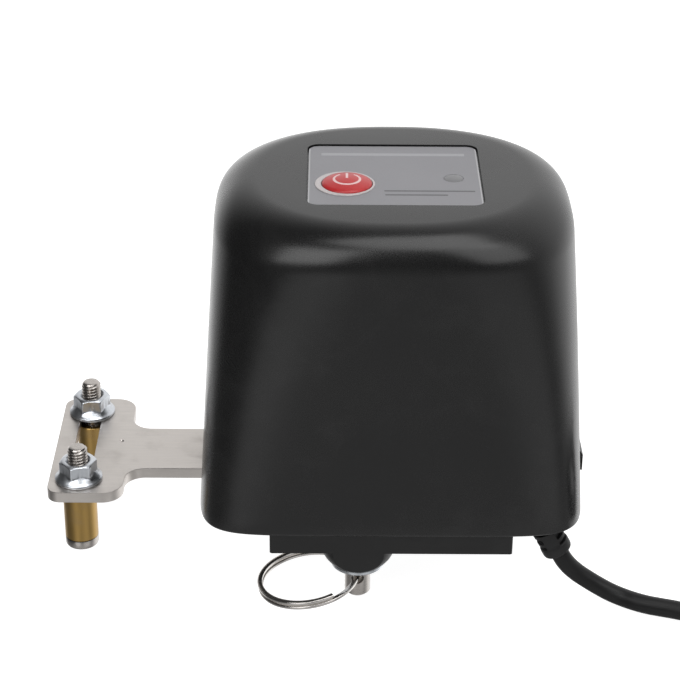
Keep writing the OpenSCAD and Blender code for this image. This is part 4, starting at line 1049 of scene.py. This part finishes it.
class PostsOperator(bpy.types.Operator):
    """Makes the two clamp posts: bolt, sleeve and flange nut"""

    bl_idname = "actuator.posts"
    bl_label = "Clamp posts"

    post_x = -92.6
    # Side, depth and turn of the nut of each post
    posts = (("front", -4.3, 13.0), ("rear", 35.7, 4.0))
    around = 96
    stud_low = -25.75
    thread_low = -10.0
    stud_top = 4.85
    stud_radius = 2.94
    tip_height = 0.75
    tip_slope = 0.9
    tip_radius = 1.2
    thread_rings = 180
    flank_start = 1.25
    flank_slope = 1.5
    head = (
        (0.0, -28.65), (3.9, -28.65), (4.35, -28.6), (4.75, -28.35), (4.95, -27.95), (5.0, -27.6),
        (5.0, -25.9), (4.9, -25.68), (0.0, -25.68),
    )
    sleeve = (
        (3.06, -25.4), (3.3, -25.64), (4.75, -25.64), (5.0, -25.4), (5.0, -9.7), (4.75, -9.46),
        (3.3, -9.46), (3.06, -9.7), (3.06, -25.4),
    )
    nut_low = -5.95
    # Height and radius of the rings of the nut's flange
    nut_flange = (
        (0.0, 3.45), (0.0, 6.85), (0.12, 7.04), (0.3, 7.1), (0.75, 7.1), (0.95, 6.98), (1.05, 6.78),
    )
    # Height, growth of the hexagon and least radius where it runs into the flange
    nut_root = ((1.7, 0.3, 6.2), (2.3, 0.1, 5.65), (2.8, 0.0, 5.2), (3.05, 0.0, 0.0), (5.74, 0.0, 0.0))
    # Height and radius of the rings of the nut's bore, from its countersink down
    nut_bore = ((6.39, 3.8), (5.68, 3.06), (0.35, 3.06))
    chamfer_low = 5.74
    chamfer_height = 0.65
    chamfer_radius = 5.8
    chamfer_inset = 1.1
    chamfer_steps = 6

    def ring(self, middle, z, radius):
        """Ring whose radius in millimetres is a function of the angle."""
        points = []
        for a, c, s in turns(self.around):
            r = radius(a)
            points.append(middle + Vector((r * c, r * s, z)) * MM)
        return points

    def bolt(self, middle, sizes):
        """Round head, and a stud with a helical thread and a chamfered tip."""
        pitch = sizes.thread_pitch / MM
        deep = sizes.thread_depth / MM
        span = self.stud_top - self.thread_low

        def thread(z):
            tip = max(0.0, z - (self.stud_top - self.tip_height)) * self.tip_slope
            run_in = min(1.0, max(0.0, (z - self.thread_low) / pitch))

            def radius(a):
                wave = abs(((z / pitch - a / math.tau) % 1.0) * 2 - 1)
                flank = self.flank_start - self.flank_slope * wave
                groove = deep * run_in * min(1.0, max(0.0, flank))
                return self.stud_radius - max(groove, tip)

            return radius

        levels = [self.stud_low]
        levels += [self.thread_low + span * i / self.thread_rings for i in range(self.thread_rings + 1)]
        rings = [self.ring(middle, z, thread(z)) for z in levels]
        rings.append(self.ring(middle, self.stud_top, lambda a: self.tip_radius))
        bm = bmesh.new()
        loft(bm, rings, caps=True)
        join(bm, turned(self.head, Matrix.Translation(middle), self.around))
        return bm

    def nut(self, middle, sizes, turn):
        """Flange nut with a chamfered hexagon, turned on its stud."""
        half = sizes.nut_flats / MM / 2
        rings = []

        def hexagon(a):
            return half / math.cos(((a - turn) % (math.pi / 3)) - math.pi / 6)

        def add(z, radius):
            rings.append(self.ring(middle, self.nut_low + z, radius))

        for z, r in self.nut_flange:
            add(z, lambda a: r)
        for z, more, least in self.nut_root:
            add(z, lambda a: max(hexagon(a) + more, least))
        for i in range(1, self.chamfer_steps + 1):
            part = i / self.chamfer_steps
            limit = self.chamfer_radius - self.chamfer_inset * part
            add(self.chamfer_low + self.chamfer_height * part, lambda a: min(hexagon(a), limit))
        for z, r in self.nut_bore:
            add(z, lambda a: r)
        bm = bmesh.new()
        loft(bm, rings, closed=True)
        return bm

    def execute(self, context):
        scene = context.scene
        colours = scene.actuator_colours
        sizes = scene.actuator_hardware
        steel = bright_metal("Stud Steel", colours.stud, (0.18, 0.3), scale=1200.0, stretch=(1.0, 1.0, 2.5))
        brass = bright_metal(
            "Turned Brass", colours.brass, (0.26, 0.42), scale=500.0, stretch=(3.0, 3.0, 0.25), marks=0.35
        )
        zinc = bright_metal("Zinc Plate", colours.zinc, (0.24, 0.36), scale=800.0, marks=0.15)
        for side, y, turn in self.posts:
            middle = spot(self.post_x, y, 0.0)
            body = side + "_post"
            bolt = self.bolt(middle, sizes)
            set_piece(bolt, side + "_stud", body, steel, (side + "_bolt",), sharp=50.0)
            tube = turned(self.sleeve, Matrix.Translation(middle), self.around)
            set_piece(tube, side + "_tube", body, brass, (side + "_sleeve",))
            nut = self.nut(middle, sizes, math.radians(turn))
            set_piece(nut, side + "_flange_nut", body, zinc, (side + "_nut",))
        return {"FINISHED"}


class ClutchOperator(bpy.types.Operator):
    """Makes the pull pin, its bush and spring, and the split ring"""

    bl_idname = "actuator.clutch"
    bl_label = "Pull pin and ring"

    hole = (-9.3, -34.0, -19.0)
    ring_radius = 15.0
    wire = (1.5, 1.0)
    wire_points = 20
    wire_power = 0.5
    rise = 1.42
    ends = (25.0, 660.0)
    droop = 8.2
    steps = 180
    pull = 6.0

    def split_ring(self):
        """Nearly two turns of rounded flat wire that droop from the pin's cross hole."""
        width, height = self.wire
        middle = self.ring_radius - width / 2
        first, last = self.ends
        bm = bmesh.new()
        points = []
        for _, c, s in turns(self.wire_points):
            x = math.copysign(abs(c) ** self.wire_power, c) * width / 2
            z = math.copysign(abs(s) ** self.wire_power, s) * height / 2
            points.append(Vector((middle + x, 0.0, self.rise * (first / 360 - 1) + z)) * MM)
        verts, edges = ring_loop(bm, points)
        start = Matrix.Rotation(math.radians(first), 3, "Z")
        bmesh.ops.rotate(bm, verts=verts, cent=(0, 0, 0), matrix=start)
        bmesh.ops.edgeloop_fill(bm, edges=edges)
        climb = self.rise * (last - first) / 360 / self.steps
        made = bmesh.ops.spin(
            bm, geom=verts + edges, cent=(0, 0, 0), axis=(0, 0, 1), dvec=(0, 0, climb * MM),
            angle=math.radians(last - first), steps=self.steps,
        )["geom_last"]
        bmesh.ops.edgeloop_fill(bm, edges=[g for g in made if isinstance(g, bmesh.types.BMEdge)])
        hang = Matrix.Rotation(math.radians(-self.droop), 4, "Y") @ Matrix.Translation((-middle * MM, 0, 0))
        bmesh.ops.transform(bm, matrix=Matrix.Translation(spot(*self.hole)) @ hang, verts=bm.verts)
        return bm

    def execute(self, context):
        scene = context.scene
        colours = scene.actuator_colours
        edge = scene.actuator_hardware.edge
        steel = bright_metal("Pin Steel", colours.stud, (0.2, 0.36), scale=700.0, stretch=(1.0, 1.0, 3.0))
        plated = bright_metal("Bush Plating", colours.zinc, (0.18, 0.3), scale=700.0)
        wire = bright_metal("Ring Wire", colours.steel, (0.12, 0.24), scale=500.0, marks=0.2)
        dress("clutch_pin", "pull_pin", "clutch_slider", steel, edge)
        dress("clutch_bush", "pin_bush", "housing", plated, edge)
        set_piece(self.split_ring(), "pull_loop", "pull_ring", wire, ("split_ring",), sharp=50.0)
        coil = dress("clutch_spring", "return_spring", "housing", steel, edge, sharp=60.0)
        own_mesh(coil)
        return {"FINISHED"}


class InsideOperator(bpy.types.Operator):
    """Finishes the nodes that keep their CAD shape"""

    bl_idname = "actuator.inside"
    bl_label = "Inner parts"

    # Name, colour, roughness, other settings and nodes of each finish
    metals = (
        ("Machined Steel", "steel", (0.22, 0.38), {"stretch": (1.0, 1.0, 3.0)},
         ("cover_screws", "board_screws", "motor_screws", "plate_screws", "motor_shaft", "gear_pillars",
          "output_shaft", "intermediate_axle", "arm_screw", "motor_gearhead")),
        ("Sheet Zinc", "zinc", (0.28, 0.42), {"scale": 350.0, "stretch": (0.3, 2.5, 1.0)},
         ("gear_plate", "arm_washer")),
        ("Tinned Can", (0.6, 0.61, 0.63), (0.2, 0.34), {"scale": 300.0}, ("radio_module", "motor_can")),
        ("Sintered Bronze", (0.42, 0.26, 0.11), (0.4, 0.55), {"scale": 2500.0}, ("lower_bush", "upper_bush")),
        ("Gear Brass", "brass", (0.22, 0.36), {"scale": 800.0}, ("clutch_gear", "motor_pinion")),
        ("Spring Wire", (0.42, 0.42, 0.43), (0.2, 0.32), {"scale": 1200.0}, ("clutch_clip",)),
    )
    plastics = (
        ("Acetal", (0.66, 0.63, 0.53), (0.38, 0.5), {"scale": 700.0, "tone": 0.06, "marks": 0.1},
         ("output_wheel", "intermediate_gear")),
        ("Black Nylon", (0.013, 0.013, 0.014), (0.42, 0.58), {"scale": 900.0, "tone": 0.2},
         ("limit_cam", "tact_switch", "switch_plunger", "motor_end_cap", "limit_switches")),
        ("White Nylon", (0.72, 0.69, 0.62), (0.4, 0.52), {"scale": 900.0, "tone": 0.05}, ("wire_terminals",)),
        ("Chip Epoxy", (0.01, 0.01, 0.011), (0.5, 0.65), {"scale": 3000.0, "tone": 0.3, "bump": 0.3},
         ("motor_driver",)),
        ("Capacitor Sleeve", (0.02, 0.03, 0.09), (0.25, 0.36), {"scale": 500.0, "tone": 0.1},
         ("power_capacitors",)),
        ("Solder Mask", (0.012, 0.1, 0.04), (0.25, 0.4),
         {"scale": 260.0, "stretch": (1.0, 0.12, 1.0), "tone": 0.7, "bump": 0.25, "depth": 0.00005},
         ("control_board",)),
        ("Clear Resin", (0.7, 0.7, 0.68), (0.12, 0.2), {"scale": 500.0, "tone": 0.03}, ("status_led",)),
        ("Lead Jacket", (0.3, 0.02, 0.02), (0.4, 0.5), {"scale": 600.0, "tone": 0.1}, ("motor_leads",)),
        ("Lead Sheath", (0.02, 0.02, 0.021), (0.42, 0.55), {"scale": 600.0, "tone": 0.15}, ("power_lead",)),
    )

    def execute(self, context):
        colours = context.scene.actuator_colours
        nodes = frame["nodes"]
        done = {name for piece in bpy.data.objects for name in piece.get("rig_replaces", [])}
        rows = [(bright_metal, *row) for row in self.metals] + [(finish, *row) for row in self.plastics]
        for make, title, colour, rough, more, names in rows:
            tint = getattr(colours, colour) if isinstance(colour, str) else colour
            material = make(title, tint, rough, **more)
            for name in names:
                nodes[name].data.materials.clear()
                nodes[name].data.materials.append(material)
                done.add(name)
        bare = sorted(set(nodes) - done)
        if bare:
            raise RuntimeError(f"these nodes have no finish: {bare}")
        return {"FINISHED"}


class ActuatorPanel(bpy.types.Panel):
    """Lists the steps of the actuator"""

    bl_idname = "VIEW3D_PT_actuator"
    bl_label = "Lever Valve Actuator"
    bl_space_type = "VIEW_3D"
    bl_region_type = "UI"
    bl_category = "Actuator"

    def draw(self, context):
        for step in STEPS:
            self.layout.operator(step.bl_idname)
        for name in SETTINGS:
            group = getattr(context.scene, name)
            column = self.layout.column(align=True)
            for key in group.__annotations__:
                column.prop(group, key)


STEPS = (
    StudioOperator, CableOperator, CoverOperator, ControlsOperator, BaseOperator, LeverOperator,
    PostsOperator, ClutchOperator, InsideOperator,
)
SETTINGS = {
    "actuator_cover": CoverShape,
    "actuator_controls": ControlSizes,
    "actuator_hardware": HardwareSizes,
    "actuator_cable": CableLay,
    "actuator_studio": StudioSetup,
    "actuator_colours": FinishColours,
}


def register():
    for kind in (*SETTINGS.values(), *STEPS, ActuatorPanel):
        bpy.utils.register_class(kind)
    for name, kind in SETTINGS.items():
        setattr(bpy.types.Scene, name, PointerProperty(type=kind))


def unregister():
    for name in SETTINGS:
        delattr(bpy.types.Scene, name)
    for kind in reversed((*SETTINGS.values(), *STEPS, ActuatorPanel)):
        bpy.utils.unregister_class(kind)


def main():
    register()
    bpy.ops.actuator.studio()
    bpy.ops.actuator.cable()
    bpy.ops.actuator.cover()
    bpy.ops.actuator.controls()
    bpy.ops.actuator.base()
    bpy.ops.actuator.lever()
    bpy.ops.actuator.posts()
    bpy.ops.actuator.clutch()
    bpy.ops.actuator.inside()


if __name__ == "__main__":
    main()
